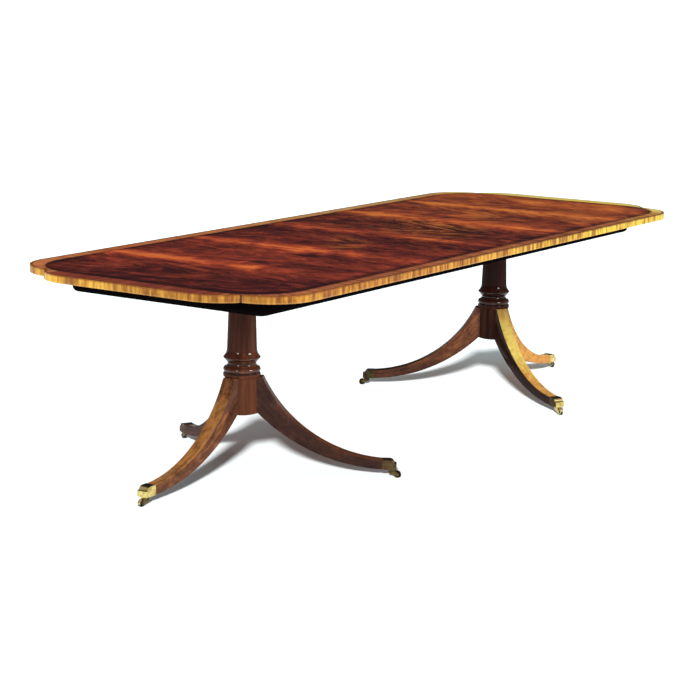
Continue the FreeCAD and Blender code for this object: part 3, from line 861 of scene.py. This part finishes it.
@dataclass(frozen=True)
class TurnedMahogany(Finish):
    """Dark polished mahogany on the turned columns, with grain up the shaft.

    A line of painted shade lies between two mouldings at each listed height, with its half width in metres.
    Pairs of heights are where a share is 0 and where it is 1: on the hub, and at the foot and the top of the
    mouldings.
    """

    slot: str = "turned_mahogany"
    tones: Stops = (
        (0.30, srgb(24, 11, 9)),
        (0.48, srgb(44, 22, 17)),
        (0.62, srgb(74, 40, 28)),
        (0.82, srgb(120, 72, 48)),
    )
    hub_tones: tuple[Rgba, Rgba] = (srgb(34, 16, 11), srgb(104, 58, 38))
    hub_heights: tuple[float, float] = (0.40, 0.36)
    moulding_foot: tuple[float, float] = (0.36, 0.37)
    moulding_top: tuple[float, float] = (0.45, 0.43)
    # Painted shade in the hollows between the mouldings: height and half width of each dark line, and its
    # colour.
    creases: tuple[tuple[float, float], ...] = ((0.4140, 0.0035), (0.3985, 0.0045), (0.3655, 0.0035))
    crease: Rgba = srgb(16, 9, 8)
    relief: float = 0.00003

    def paint(self, graph: Graph) -> None:
        """Long upright streaks round a heart, lighter on the hub, with painted light on the left column,
        painted shade in the hollows between mouldings, and glossy mouldings.

        Args:
            graph: Node tree of the material.
        """
        x, y, z = graph.place()
        streaks = graph.noise(x * 46.0, y * 46.0, z * 3.2, detail=6.0, roughness=0.62, distortion=0.4)
        heart = graph.noise(x * 11.0, y * 11.0, z * 2.0, detail=2.0)
        fibres = graph.noise(x * 420.0, y * 420.0, z * 18.0, detail=2.0)
        # Painted light: the left column's wood is lighter, standing for the light that falls on it.
        tone = streaks * 0.6 + heart * 0.3 + fibres * 0.1 + x.step(0.2, -0.2) * 0.16 - 0.06
        hub = graph.blend(tone.step(0.3, 0.8), *self.hub_tones)
        colour = graph.blend(z.step(*self.hub_heights) * 0.7, graph.ramp(tone, self.tones), hub)
        # Painted shade in the hollows between the mouldings.
        for height, half in self.creases:
            crease = abs(z - height).step(half, half * 0.3)
            colour = graph.blend(crease * 0.75, colour, self.crease)
        polish = 0.1 + z.step(*self.moulding_foot) * z.step(*self.moulding_top) * 0.62
        graph.surface(colour, 0.30 + fibres * 0.12, fibres, self.relief, varnish(polish, 0.07))


@dataclass(frozen=True)
class LegZones:
    """Shares that tell the legs apart: towards an end of the table, in front, behind, on the right."""

    end: Value
    front: Value
    back: Value
    right: Value


@dataclass(frozen=True)
class LegMahogany(Finish):
    """Mottled mahogany on the sabre legs, its grain bent along each leg, golden on top with painted light.

    The leg bends about an axis at a reach and a height in metres. Pairs of colours are the darker and the
    lighter wood of an upper face under painted light.
    """

    slot: str = "leg_mahogany"
    bend_reach: float = 0.525
    bend_height: float = 0.62
    tones: Stops = (
        (0.26, srgb(36, 20, 18)),
        (0.46, srgb(62, 35, 27)),
        (0.62, srgb(100, 60, 40)),
        (0.80, srgb(156, 98, 56)),
        (1.00, srgb(220, 148, 74)),
    )
    # Colours of painted light on the upper faces and the right end leg, and of painted shade on the right
    # back leg's top.
    honey: Rgba = srgb(226, 168, 76)
    golden: tuple[Rgba, Rgba] = (srgb(100, 58, 34), srgb(200, 138, 74))
    amber: tuple[Rgba, Rgba] = (srgb(206, 128, 56), srgb(250, 190, 96))
    bright: tuple[Rgba, Rgba] = (srgb(226, 168, 70), srgb(255, 240, 130))
    dark_top: Rgba = srgb(28, 17, 14)
    relief: float = 0.00005

    def bend(self, place: Axes) -> Axes:
        """Place in a leg's own coordinates.

        A leg's heading is the nearest multiple of a sixth of a turn, and its bend is a circle in side view.

        Args:
            place: Place on the object.

        Returns:
            Distance from the axis of the bend, angle round it, and distance from the leg's middle plane.
        """
        x, y, z = place
        inward = SIZES.pedestal - abs(x)
        reach = (inward * inward + y * y).op("SQRT")
        heading = y.op("ARCTAN2", inward)
        sixth = math.pi / 3
        across = (heading - (heading / sixth + 0.5).op("FLOOR") * sixth).op("SINE") * reach
        out, drop = reach - self.bend_reach, z - self.bend_height
        return (out * out + drop * drop).op("SQRT"), drop.op("ARCTAN2", out), across

    def wear(self, graph: Graph, colour: Value, shares: tuple[Value, Value, Value], zones: LegZones) -> Value:
        """Colour with painted light on the upper faces: golden left, bright right in front and at the end,
        and painted shade on them behind.

        Args:
            graph: Node tree of the material.
            colour: Colour of the grain.
            shares: Tone, mottle and height.
            zones: Shares that tell the legs apart.

        Returns:
            The colour with painted light and shade.
        """
        tone, mottle, z = shares
        _, _, upward = graph.facing()
        # Painted light on the upper faces, mottled.
        upper_faces = upward.step(0.15, 0.75) * (0.55 + mottle * 0.6)
        lightness = tone.step(0.1, 0.5)
        amber, bright = graph.blend(lightness, *self.amber), graph.blend(lightness, *self.bright)
        bright = graph.blend(z.step(0.17, 0.10) * 0.85 + z.step(0.27, 0.33) * 0.4, bright, amber)
        golden = graph.blend(tone.step(0.42, 0.74), *self.golden)
        upper_faces_left, upper_faces_right = upper_faces * (1 - zones.right), upper_faces * zones.right
        # Painted light on the right end leg.
        colour = graph.blend(zones.right * zones.end * 0.35, colour, self.honey)
        colour = graph.blend(upper_faces_left * (0.6 + zones.end * 0.25), colour, golden)
        colour = graph.blend(upper_faces_right * (zones.front + zones.end * 0.8), colour, bright)
        # Painted shade on the upper faces of the right back leg.
        return graph.blend(upper_faces_right * zones.back * 0.8, colour, self.dark_top)

    def paint(self, graph: Graph) -> None:
        """Streaks, mottle and fibres along the bend, toned from leg to leg with painted light and shade, then
        the painted light and shade of the upper faces.

        Args:
            graph: Node tree of the material.
        """
        x, y, z = place = graph.place()
        depth, along, across = self.bend(place)
        seed = x * 0.7 + y * 0.9
        streaks = graph.noise(
            depth * 75.0, along * 7.0, across * 75.0 + seed, detail=6.0, roughness=0.66, distortion=0.5
        )
        mottle = graph.noise(
            depth * 26.0, along * 16.0, across * 26.0 + seed, detail=4.0, roughness=0.6, distortion=0.8
        )
        fibres = graph.noise(depth * 500.0, along * 30.0, across * 500.0, detail=2.0)
        end = abs(x).step(0.94, 1.02)
        zones = LegZones(end, y.step(-0.02, -0.06), y.step(0.02, 0.06) * (1 - end), x.step(-0.3, 0.3))
        # Painted light and shade from leg to leg: lighter at the ends and on the right back leg, darker on
        # the front legs.
        on_right = zones.end * (0.30 + (mottle - 0.5) * 0.8)
        on_right = on_right + zones.back * z.step(0.02, 0.20) * 0.14 - zones.front * 0.16
        on_left = zones.front * (1 - zones.end) * 0.07
        tone = streaks * 0.5 + mottle * 0.38 + fibres * 0.12 + zones.end * 0.12
        tone = tone + zones.right * on_right - (1 - zones.right) * on_left
        colour = self.wear(graph, graph.ramp(tone, self.tones), (tone, mottle, z), zones)
        graph.surface(colour, 0.32 + fibres * 0.14, streaks, self.relief, varnish(0.22, 0.12))


@dataclass(frozen=True)
class CastMetal(Finish):
    """Cast metal, tarnished in patches and polished by handling elsewhere.

    The painted shade is a pair of dark colours, for the left and the right half of the table, and a darker
    one for upper faces, which is a painted dark reflection.
    """

    bright: Rgba = srgb(232, 208, 132)
    dull: Rgba = srgb(146, 118, 54)
    gloss: float = 0.18
    tarnish: float = 0.6
    # Painted glints, and painted shade with a painted dark reflection on upper faces.
    patina: float = 0.0
    glints: float = 0.0
    glint: Rgba = srgb(240, 220, 156)
    patina_sides: tuple[Rgba, Rgba] = (srgb(74, 55, 34), srgb(50, 41, 20))
    patina_top: Rgba = srgb(18, 13, 10)
    relief: float = 0.000002

    def paint(self, graph: Graph) -> None:
        """Patches of tarnish over a fine casting grain.

        Painted glints lighten the outer castings on their upper left sides. Painted shade darkens the inner
        feet and the inner side of the right front foot, which is bright elsewhere, and a painted dark
        reflection the upper faces.

        Args:
            graph: Node tree of the material.
        """
        x, y, z = graph.place()
        to_right, to_back, upward = graph.facing()
        patches = graph.noise(x * 60.0, y * 60.0, z * 60.0, detail=3.0, roughness=0.55).step(0.36, 0.70)
        grain = graph.noise(x * 900.0, y * 900.0, z * 900.0, detail=2.0)
        right_half = x.step(-0.1, 0.1)
        right_front = right_half * y.step(-0.1, -0.3)
        inner = abs(x).step(0.80, 0.70) * (1 - right_front)
        colour = graph.blend(patches * self.tarnish, self.bright, self.dull)
        # Painted glints on the upper left sides of the outer castings.
        lit = (upward * 0.6 - to_right * 0.8).step(0.35, 0.8) * (1 - inner)
        colour = graph.blend(lit * self.glints, colour, self.glint)
        # Painted shade on the inner feet and on the right front foot's inner side, and a painted dark
        # reflection on upper faces.
        level = upward.step(0.5, 0.95)
        inner_side = (to_back * 0.5 - to_right * 0.87).step(0.5, 0.8) * right_front
        share = level.op("MAXIMUM", inner * (0.95 + patches * 0.05))
        share = share.op("MAXIMUM", inner_side * 0.95) * self.patina
        dark = graph.blend(level, graph.blend(right_half, *self.patina_sides), self.patina_top)
        graph.surface(
            graph.blend(share, colour, dark),
            self.gloss + patches * 0.2 + grain * 0.05 + share * 0.2,
            grain,
            self.relief,
            {"Specular IOR Level": 0.1},
            metallic=1 - share * 0.85,
        )


FINISHES: tuple[Finish, ...] = (
    FlameVeneer(),
    Crossband(),
    EdgeLipping(),
    PlainWood(slot="ebony_line", dark=srgb(30, 14, 12), light=srgb(54, 25, 20), gloss=0.25, specular=0.0),
    # The skirt's near-black is partly its dark mahogany and partly painted shade, standing for the shadow
    # under the top.
    PlainWood(slot="skirt_mahogany", dark=srgb(6, 5, 6), light=srgb(16, 12, 12), gloss=0.6, specular=0.0),
    PlainWood(slot="block_mahogany", dark=srgb(44, 26, 20), light=srgb(84, 52, 38), gloss=0.5),
    PlainWood(slot="runner_beech", dark=srgb(146, 106, 70), light=srgb(188, 146, 102), gloss=0.5),
    PlainWood(
        slot="peg_beech",
        dark=srgb(164, 126, 86),
        light=srgb(206, 168, 122),
        stretch=(60.0, 60.0, 4.0),
        gloss=0.5,
    ),
    TurnedMahogany(),
    LegMahogany(),
    CastMetal(slot="brass", patina=1.0),
    # Darker brass of the casters, partly painted shade and dark reflection.
    CastMetal(
        slot="old_brass",
        bright=srgb(104, 86, 52),
        dull=srgb(40, 32, 20),
        gloss=0.2,
        tarnish=0.9,
        glints=0.8,
    ),
    CastMetal(
        slot="dark_brass",
        bright=srgb(44, 36, 24),
        dull=srgb(16, 13, 10),
        gloss=0.24,
        tarnish=0.9,
        glints=0.8,
    ),
    CastMetal(slot="steel", bright=srgb(150, 150, 152), dull=srgb(92, 88, 84), gloss=0.3),
    CastMetal(slot="iron", bright=srgb(58, 58, 60), dull=srgb(44, 36, 32), gloss=0.5),
)


def closed_rings(points: np.ndarray) -> tuple[np.ndarray, list[list[int]]]:
    """Skin over rings of points, each ring closed on itself, with a flat lid on the first and the last.

    Args:
        points: Array of rings, points round a ring, and X, Y and Z.

    Returns:
        Vertices as rows, and faces as lists of vertex numbers.
    """
    rings, around, _ = points.shape
    index = np.arange(rings * around).reshape(rings, around)
    ahead = np.roll(index, -1, axis=1)
    quads = np.stack([index[:-1], ahead[:-1], ahead[1:], index[1:]], axis=-1).reshape(-1, 4)
    lids = [index[0, ::-1].tolist(), index[-1].tolist()]
    return points.reshape(-1, 3), quads.tolist() + lids


def soft_corners(points: np.ndarray, radii: np.ndarray, steps: int = 6) -> np.ndarray:
    """Open line through points whose corners are rounded by short parabolas.

    Each corner is cut back by its radius along both of its runs, and the curve between the cuts is the
    parabola whose tangents are those runs: start(1-t)^2 + 2 corner t(1-t) + end t^2.

    Args:
        points: Corner points, as rows of two numbers.
        radii: Cut-back of each corner, of which the first and last are not used.
        steps: Points on each rounded corner.

    Returns:
        Points of the rounded line, as rows.
    """
    corner, before, after = points[1:-1], points[:-2], points[2:]
    cut = radii[1:-1, None]
    to_before, to_after = before - corner, after - corner
    start = corner + to_before / np.linalg.norm(to_before, axis=1, keepdims=True) * cut
    end = corner + to_after / np.linalg.norm(to_after, axis=1, keepdims=True) * cut
    t = np.linspace(0.0, 1.0, steps)[None, :, None]
    curves = start[:, None] * (1 - t) ** 2 + 2 * corner[:, None] * t * (1 - t) + end[:, None] * t ** 2
    return np.concatenate([points[:1], curves.reshape(-1, 2), points[-1:]])


def make_piece(
    name: str, vertices: np.ndarray, faces: list[list[int]], crease_deg: float = 35.0
) -> bpy.types.Object:
    """Mesh object at the origin, smooth except across sharp edges.

    Args:
        name: Name of the piece.
        vertices: Vertices in metres, as rows.
        faces: Faces as lists of vertex numbers.
        crease_deg: Angle between faces past which an edge stays sharp.

    Returns:
        The new object.
    """
    mesh = bpy.data.meshes.new(name)
    mesh.from_pydata(vertices.tolist(), [], faces)
    mesh.polygons.foreach_set("use_smooth", np.ones(len(mesh.polygons), dtype=bool))
    mesh.update()
    mesh.set_sharp_from_angle(angle=math.radians(crease_deg))
    piece = bpy.data.objects.new(name, mesh)
    bpy.context.scene.collection.objects.link(piece)
    return piece


@dataclass
class Wardrobe:
    """The materials of all finishes, by the record's slot."""

    materials: dict[str, bpy.types.Material] = field(default_factory=dict)

    def fill(self, finishes: Iterable[Finish]) -> None:
        """Makes the material of each finish.

        Args:
            finishes: The finishes.
        """
        for finish in finishes:
            self.materials[finish.slot] = finish.material()
            LOG.info("finish %s", finish.slot)

    def dress(self, piece: bpy.types.Object, slot: str) -> None:
        """Gives a piece the one material of a slot."""
        piece.data.materials.clear()
        piece.data.materials.append(self.materials[slot])

    def dress_nodes(self) -> None:
        """Gives every solid the finish that the record names for it, and the casters darker brass, which is
        partly painted shade and dark reflection.
        """
        for row in frame["record"]["subparts"]:
            node, slot = row["node"], row["material_slot"]
            # The casters' darker brass is partly painted shade and dark reflection.
            if "caster" in node:
                slot = "dark_brass" if node.endswith("wheel") else "old_brass"
            self.dress(frame["nodes"][node], slot)
            LOG.info("node %s wears %s", node, slot)


@dataclass
class PedestalPiece:
    """A piece of a pedestal that stands in the place of its solid."""

    slot: ClassVar[str]
    side: Side

    @property
    def node(self) -> str:
        """Name of the solid that the piece replaces."""
        raise NotImplementedError

    def build(self) -> bpy.types.Object:
        """Makes the piece."""
        raise NotImplementedError

    def dress(self, wardrobe: Wardrobe) -> None:
        """Builds the piece, polishes it and sets it in the place of its solid.

        Args:
            wardrobe: The materials.
        """
        piece = self.build()
        wardrobe.dress(piece, self.slot)
        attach(piece, f"{self.side.label}_half")
        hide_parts(self.node)
        LOG.info("piece %s", piece.name)


@dataclass
class TurnedColumn(PedestalPiece):
    """A pedestal's turned column, with eased edges and hollow curves between its mouldings (millimetres).

    A moulding is its radius and height. The hub is a radius with its bottom and top, and the shaft has a
    radius and height at its foot and at its top. The easings are the radii of the corners, from below.
    """

    slot: ClassVar[str] = "turned_mahogany"
    hub: tuple[float, float, float] = (61.0, 222.0, 352.0)
    hub_lid: float = 8.0
    collar: tuple[float, float] = (65.6, 364.0)
    groove: tuple[float, float] = (63.0, 367.0)
    torus: tuple[float, float] = (66.2, 388.0)
    neck: tuple[float, float] = (49.0, 399.0)
    ring: tuple[float, float] = (66.6, 420.0)
    shaft_foot: tuple[float, float] = (53.0, 438.0)
    shaft_top: tuple[float, float] = (45.0, 686.0)
    foot_easing: tuple[float, ...] = (0.0, 1.5, 0.8, 1.5, 1.6, 0.7, 0.7, 0.0)
    upper_easing: tuple[float, ...] = (0.0, 6.0, 2.2, 14.0, 0.0)
    upper_steps: int = 12
    torus_steps: int = 20
    segments: int = 128

    @property
    def node(self) -> str:
        """Name of the solid that the column replaces."""
        return f"{self.side.label}_column"

    def profile(self) -> np.ndarray:
        """Half section from the hub's bottom to the shaft's top.

        The torus is a half circle between the groove and its own top, and the rest are eased corners.

        Returns:
            Rows of radius and height.
        """
        bead = (self.torus[1] - self.groove[1]) / 2
        bead_middle = self.torus[0] - bead
        sweep = np.linspace(-math.pi / 2, math.pi / 2, self.torus_steps)
        roll_radius = bead_middle + bead * np.cos(sweep)
        roll_height = self.groove[1] + bead + bead * np.sin(sweep)
        hub_radius, hub_bottom, hub_top = self.hub
        foot = (
            (hub_radius - self.hub_lid, hub_bottom),
            (hub_radius, hub_bottom),
            (hub_radius, hub_top),
            (self.collar[0], hub_top),
            self.collar,
            (self.groove[0], self.collar[1]),
            self.groove,
            (bead_middle, self.groove[1]),
        )
        upper = ((bead_middle, self.torus[1]), self.neck, self.ring, self.shaft_foot, self.shaft_top)
        foot_line = soft_corners(np.array(foot), np.array(self.foot_easing))
        upper_line = soft_corners(np.array(upper), np.array(self.upper_easing), self.upper_steps)
        roll = np.stack([roll_radius, roll_height], axis=1)
        return np.concatenate([foot_line[:-1], roll, upper_line[1:]])

    def build(self) -> bpy.types.Object:
        """Revolves the half section about the pedestal's axis: place = (r cos a, r sin a, h).

        Returns:
            The column.
        """
        radius, height = self.profile().T * MM
        angle = np.linspace(0.0, 2 * math.pi, self.segments, endpoint=False)
        points = np.empty((len(radius), self.segments, 3))
        points[..., 0] = self.side.value * SIZES.pedestal + radius[:, None] * np.cos(angle)
        points[..., 1] = radius[:, None] * np.sin(angle)
        points[..., 2] = height[:, None]
        return make_piece(f"{self.side.label}_turned_column", *closed_rings(points))


@dataclass
class SabreLeg(PedestalPiece):
    """A sabre leg with a rounded bead along both upper edges (millimetres).

    The quirk is the hollow beside the bead, as distances in from the side and down from the top.
    """

    slot: ClassVar[str] = "leg_mahogany"
    place: LegPlace
    hub_radius: float = 61.0
    hub_bottom: float = 222.0
    hub_top: float = 352.0
    shoulder: float = 14.0
    toe_reach: float = 525.0
    toe_bottom: float = 31.5
    toe_height: float = 34.0
    cap_start: float = 500.0
    root_width: float = 55.0
    toe_width: float = 38.0
    bead_radius: float = 2.5
    bead_turn_deg: float = 150.0
    quirk: tuple[tuple[float, float], ...] = ((6.0, 1.3), (6.7, 0.5), (7.6, 0.05), (9.0, 0.0))
    lower_radius: float = 1.6
    sunk: float = 45.0
    tuck: float = 1.5
    tuck_depth: float = 2.0
    stations: int = 72
    root_points: int = 4
    bead_points: int = 11
    lower_points: int = 5

    @property
    def node(self) -> str:
        """Name of the solid that the leg replaces."""
        return f"{self.side.label}_{self.place.label}_leg"

    def edge_line(self, start: float, height: float, toe: float, tuck: float) -> np.ndarray:
        """Side view of one long edge, as rows of reach and height.

        It runs out of the hub to the start, level but for a small tuck inside the hub, then along the arc
        that turns level at the toe, whose radius is (across^2 + drop^2) / (2 drop), as far as the brass cap.

        Args:
            start: Reach at which the arc begins.
            height: Height of the edge at the hub.
            toe: Height of the edge at the toe.
            tuck: How much higher the edge lies inside the hub.

        Returns:
            Points of the edge, as rows.
        """
        root = np.linspace(self.hub_radius - self.sunk, start, self.root_points, endpoint=False)
        level = np.where(root < self.hub_radius - self.tuck_depth, height + tuck, height)
        across, drop = self.toe_reach - start, height - toe
        radius = (across ** 2 + drop ** 2) / (2 * drop)
        first = math.asin(across / radius)
        last = math.asin((self.toe_reach - self.cap_start) / radius)
        angle = np.linspace(first, last, self.stations)
        arc_reach, arc_height = self.toe_reach - radius * np.sin(angle), toe + radius * (1 - np.cos(angle))
        return np.concatenate([np.stack([root, level], axis=1), np.stack([arc_reach, arc_height], axis=1)])

    def section(self) -> tuple[np.ndarray, np.ndarray, np.ndarray, np.ndarray]:
        """Cross-section of the leg, as distances from its edges.

        The bead and the round-off below are arcs: inset = r(1 - cos a), depth = r(1 - sin a).

        Returns:
            Side of each point (1 or -1), its distance in from that side, its distance from the top or
            bottom face, and whether it belongs to the top.
        """
        turn = np.radians(np.linspace(0.0, self.bead_turn_deg, self.bead_points))
        bead = self.bead_radius * np.stack([1 - np.cos(turn), 1 - np.sin(turn)], axis=1)
        upper = np.concatenate([bead, np.array(self.quirk)])
        round_off = np.radians(np.linspace(90.0, 0.0, self.lower_points))
        lower = self.lower_radius * np.stack([1 - np.cos(round_off), 1 - np.sin(round_off)], axis=1)
        rows = np.concatenate([upper, upper[::-1], lower[::-1], lower])
        near, far = len(upper), len(lower)
        sign = np.repeat([1.0, -1.0, -1.0, 1.0], [near, near, far, far])
        is_top = np.repeat([True, False], [2 * near, 2 * far])
        return sign, rows[:, 0], rows[:, 1], is_top

    def build(self) -> bpy.types.Object:
        """Carries the section along the leg between its upper and lower edge lines.

        Returns:
            The leg.
        """
        toe_top = self.toe_bottom + self.toe_height
        upper = self.edge_line(self.hub_radius + self.shoulder, self.hub_top, toe_top, -self.tuck)
        lower = self.edge_line(self.hub_radius, self.hub_bottom, self.toe_bottom, self.tuck)
        up = (upper - lower) / np.linalg.norm(upper - lower, axis=1, keepdims=True)
        sign, inset, depth, is_top = self.section()
        base = np.where(is_top[None, :, None], upper[:, None], lower[:, None])
        away = np.where(is_top, -depth, depth)[None, :, None]
        side_view = base + up[:, None] * away
        reach, height = side_view[..., 0], side_view[..., 1]
        width = self.root_width - (self.root_width - self.toe_width) * reach / self.toe_reach
        across = sign * (width / 2 - inset)
        heading = math.radians(self.place.value)
        inward = reach * math.cos(heading) - across * math.sin(heading)
        sideways = reach * math.sin(heading) + across * math.cos(heading)
        points = np.empty((*reach.shape, 3))
        points[..., 0] = self.side.value * SIZES.pedestal - self.side.value * inward * MM
        points[..., 1] = sideways * MM
        points[..., 2] = height * MM
        # The right pedestal mirrors the left one, so its rings run the other way round.
        if self.side is Side.RIGHT:
            points = points[:, ::-1]
        return make_piece(f"{self.side.label}_{self.place.label}_sabre_leg", *closed_rings(points))


class LampKind(enum.Enum):
    """Kinds of lamp: a square soft one nearby, or an even one from far away."""

    SOFTBOX = "AREA"
    DISTANT = "SUN"


@dataclass(frozen=True)
class Lamp:
    """A lamp: where it hangs, where it points, its size (metres, or degrees if distant) and its power."""

    name: str
    kind: LampKind
    place: tuple[float, float, float]
    target: tuple[float, float, float]
    size: float
    power: float
    tint: tuple[float, float, float] = (1.0, 1.0, 1.0)

    @staticmethod
    def group(name: str, members: Iterable[bpy.types.Object]) -> bpy.types.Collection:
        """Collection of the objects that a lamp lights, or that stand in its light.

        Args:
            name: Name of the collection.
            members: The objects.

        Returns:
            The new collection.
        """
        collection = bpy.data.collections.new(name)
        for member in members:
            collection.objects.link(member)
        return collection

    def hang(
        self,
        lights: Sequence[bpy.types.Object],
        shaded_by: Sequence[bpy.types.Object] | None = None,
        mirrored: bool = True,
    ) -> None:
        """Makes the lamp.

        Args:
            lights: The only objects that it lights.
            shaded_by: The only objects that cast its shadows, or all of them.
            mirrored: Whether its image shows in polished surfaces.
        """
        light = bpy.data.lights.new(self.name, self.kind.value)
        light.energy = self.power
        light.color = self.tint
        if self.kind is LampKind.SOFTBOX:
            light.size = self.size
        else:
            light.angle = math.radians(self.size)
        lamp = bpy.data.objects.new(self.name, light)
        lamp.location = self.place
        towards = Vector(self.target) - Vector(self.place)
        lamp.rotation_euler = towards.to_track_quat("-Z", "Y").to_euler()
        lamp.visible_glossy = mirrored
        bpy.context.scene.collection.objects.link(lamp)
        lamp.light_linking.receiver_collection = self.group(f"{self.name}_lights", lights)
        if shaded_by is not None:
            lamp.light_linking.blocker_collection = self.group(f"{self.name}_shadows", shaded_by)


@dataclass
class Studio:
    """Camera, lamps, floor and surroundings (metres, degrees, and pixels of the picture)."""

    eye: tuple[float, float, float] = (-6.315, -4.063, 1.792)
    yaw_deg: float = 56.375
    pitch_deg: float = 11.225
    roll_deg: float = 0.891
    focal_px: float = 1971.8
    frame_px: float = 700.0
    sensor_mm: float = 36.0
    sight: float = 1000.0
    floor_half: float = 250.0
    floor_shade: tuple[float, float, float] = (0.572, 0.605, 0.612)
    floor_wear: float = 0.97
    floor_grain: float = 40.0
    low_sky: float = 0.05
    high_sky: float = 0.7
    softboxes: tuple[Lamp, ...] = (
        Lamp("front", LampKind.SOFTBOX, (-0.35, -3.7, 2.3), (0.0, 0.0, 0.5), 1.3, 135.0),
        Lamp("end", LampKind.SOFTBOX, (-4.8, -0.4, 2.0), (0.0, 0.0, 0.5), 1.0, 62.0),
    )
    floor_lamps: tuple[Lamp, ...] = (
        Lamp("floor_lamp", LampKind.DISTANT, (-2.61, -1.48, 1.3), (0.0, 0.0, 0.0), 5.0, 12.2),
        Lamp("floor_fill", LampKind.DISTANT, (0.0, 0.0, 5.0), (0.0, 0.0, 0.0), 90.0, 0.7, (0.55, 0.96, 1.0)),
    )
    foot_words: tuple[str, ...] = ("leg", "cap", "caster", "hub_plate")

    def aim_camera(self) -> None:
        """Camera at the height, distance and turn that the picture was taken from."""
        yaw, pitch, roll = map(math.radians, (self.yaw_deg, self.pitch_deg, self.roll_deg))
        ahead = Vector((math.sin(yaw) * math.cos(pitch), math.cos(yaw) * math.cos(pitch), -math.sin(pitch)))
        right = Vector((math.cos(yaw), -math.sin(yaw), 0.0))
        up = right.cross(ahead)
        tilt_x = right * math.cos(roll) + up * math.sin(roll)
        tilt_y = up * math.cos(roll) - right * math.sin(roll)
        data = bpy.data.cameras.new("camera")
        data.sensor_width = self.sensor_mm
        data.lens = self.focal_px / self.frame_px * self.sensor_mm
        data.clip_end = self.sight
        camera = bpy.data.objects.new("camera", data)
        turn = Matrix((tilt_x, tilt_y, -ahead)).transposed().to_4x4()
        camera.matrix_world = Matrix.Translation(self.eye) @ turn
        bpy.context.scene.collection.objects.link(camera)
        bpy.context.scene.camera = camera

    def lay_floor(self) -> bpy.types.Object:
        """Pale matt floor, as one square.

        Returns:
            The floor.
        """
        half = self.floor_half
        corners = np.array([(-half, -half, 0.0), (half, -half, 0.0), (half, half, 0.0), (-half, half, 0.0)])
        floor = make_piece("floor", corners, [[0, 1, 2, 3]])
        material = new_material("pale_floor")
        graph = Graph(material.node_tree)
        grain = graph.noise(*(axis * self.floor_grain for axis in graph.place()), detail=2.0)
        worn_shade = tuple(channel * self.floor_wear for channel in self.floor_shade)
        shade = graph.blend(grain, (*self.floor_shade, 1.0), (*worn_shade, 1.0))
        graph.surface(shade, 0.9, fixed={"Specular IOR Level": 0.0})
        floor.data.materials.append(material)
        return floor

    def light_surroundings(self) -> None:
        """A room that is dim round about, bright overhead and white down at the horizon."""
        world = bpy.data.worlds.new("surroundings")
        world.use_nodes = True
        graph = Graph(world.node_tree)
        _, _, rise = graph.axes("Generated")
        overhead = rise.step(0.2, 0.85) * (self.high_sky - self.low_sky)
        horizon = rise.step(0.095, 0.065)
        white = (1.0, 1.0, 1.0, 1.0)
        sky = graph.add("Background", inputs={"Color": white, "Strength": self.low_sky + overhead + horizon})
        graph.add("OutputWorld", inputs={"Surface": sky})
        bpy.context.scene.world = world

    def hang_lamps(self, floor: bpy.types.Object) -> None:
        """Soft lamps before the table and at its left end, and distant ones for the floor.

        Each soft lamp hangs twice: once for the top, which does not mirror it, and once for the pedestals,
        which do. Only the feet shade the floor.

        Args:
            floor: The floor.
        """
        table = [piece for piece in bpy.context.scene.objects if piece.type == "MESH" and piece is not floor]
        feet = [piece for piece in table if any(word in piece.name for word in self.foot_words)]
        pedestals = feet + [piece for piece in table if "column" in piece.name]
        tops = [piece for piece in table if piece not in pedestals]
        for label, pieces, mirrored in (("top", tops, False), ("pedestal", pedestals, True)):
            for lamp in self.softboxes:
                replace(lamp, name=f"{lamp.name}_{label}_lamp").hang(pieces, mirrored=mirrored)
        for lamp in self.floor_lamps:
            lamp.hang([floor], shaded_by=feet)

    def build(self) -> None:
        """Sets up everything round the object."""
        self.aim_camera()
        floor = self.lay_floor()
        self.light_surroundings()
        self.hang_lamps(floor)
        bpy.context.scene.view_settings.view_transform = "Standard"


def main() -> None:
    """Dresses the table, sets up the studio and reports each piece."""
    logging.basicConfig(level=logging.INFO, format="%(message)s")
    wardrobe = Wardrobe()
    wardrobe.fill(FINISHES)
    wardrobe.dress_nodes()
    for side in Side:
        TurnedColumn(side).dress(wardrobe)
        for place in LegPlace:
            SabreLeg(side, place).dress(wardrobe)
    Studio().build()


if __name__ == "__main__":
    main()
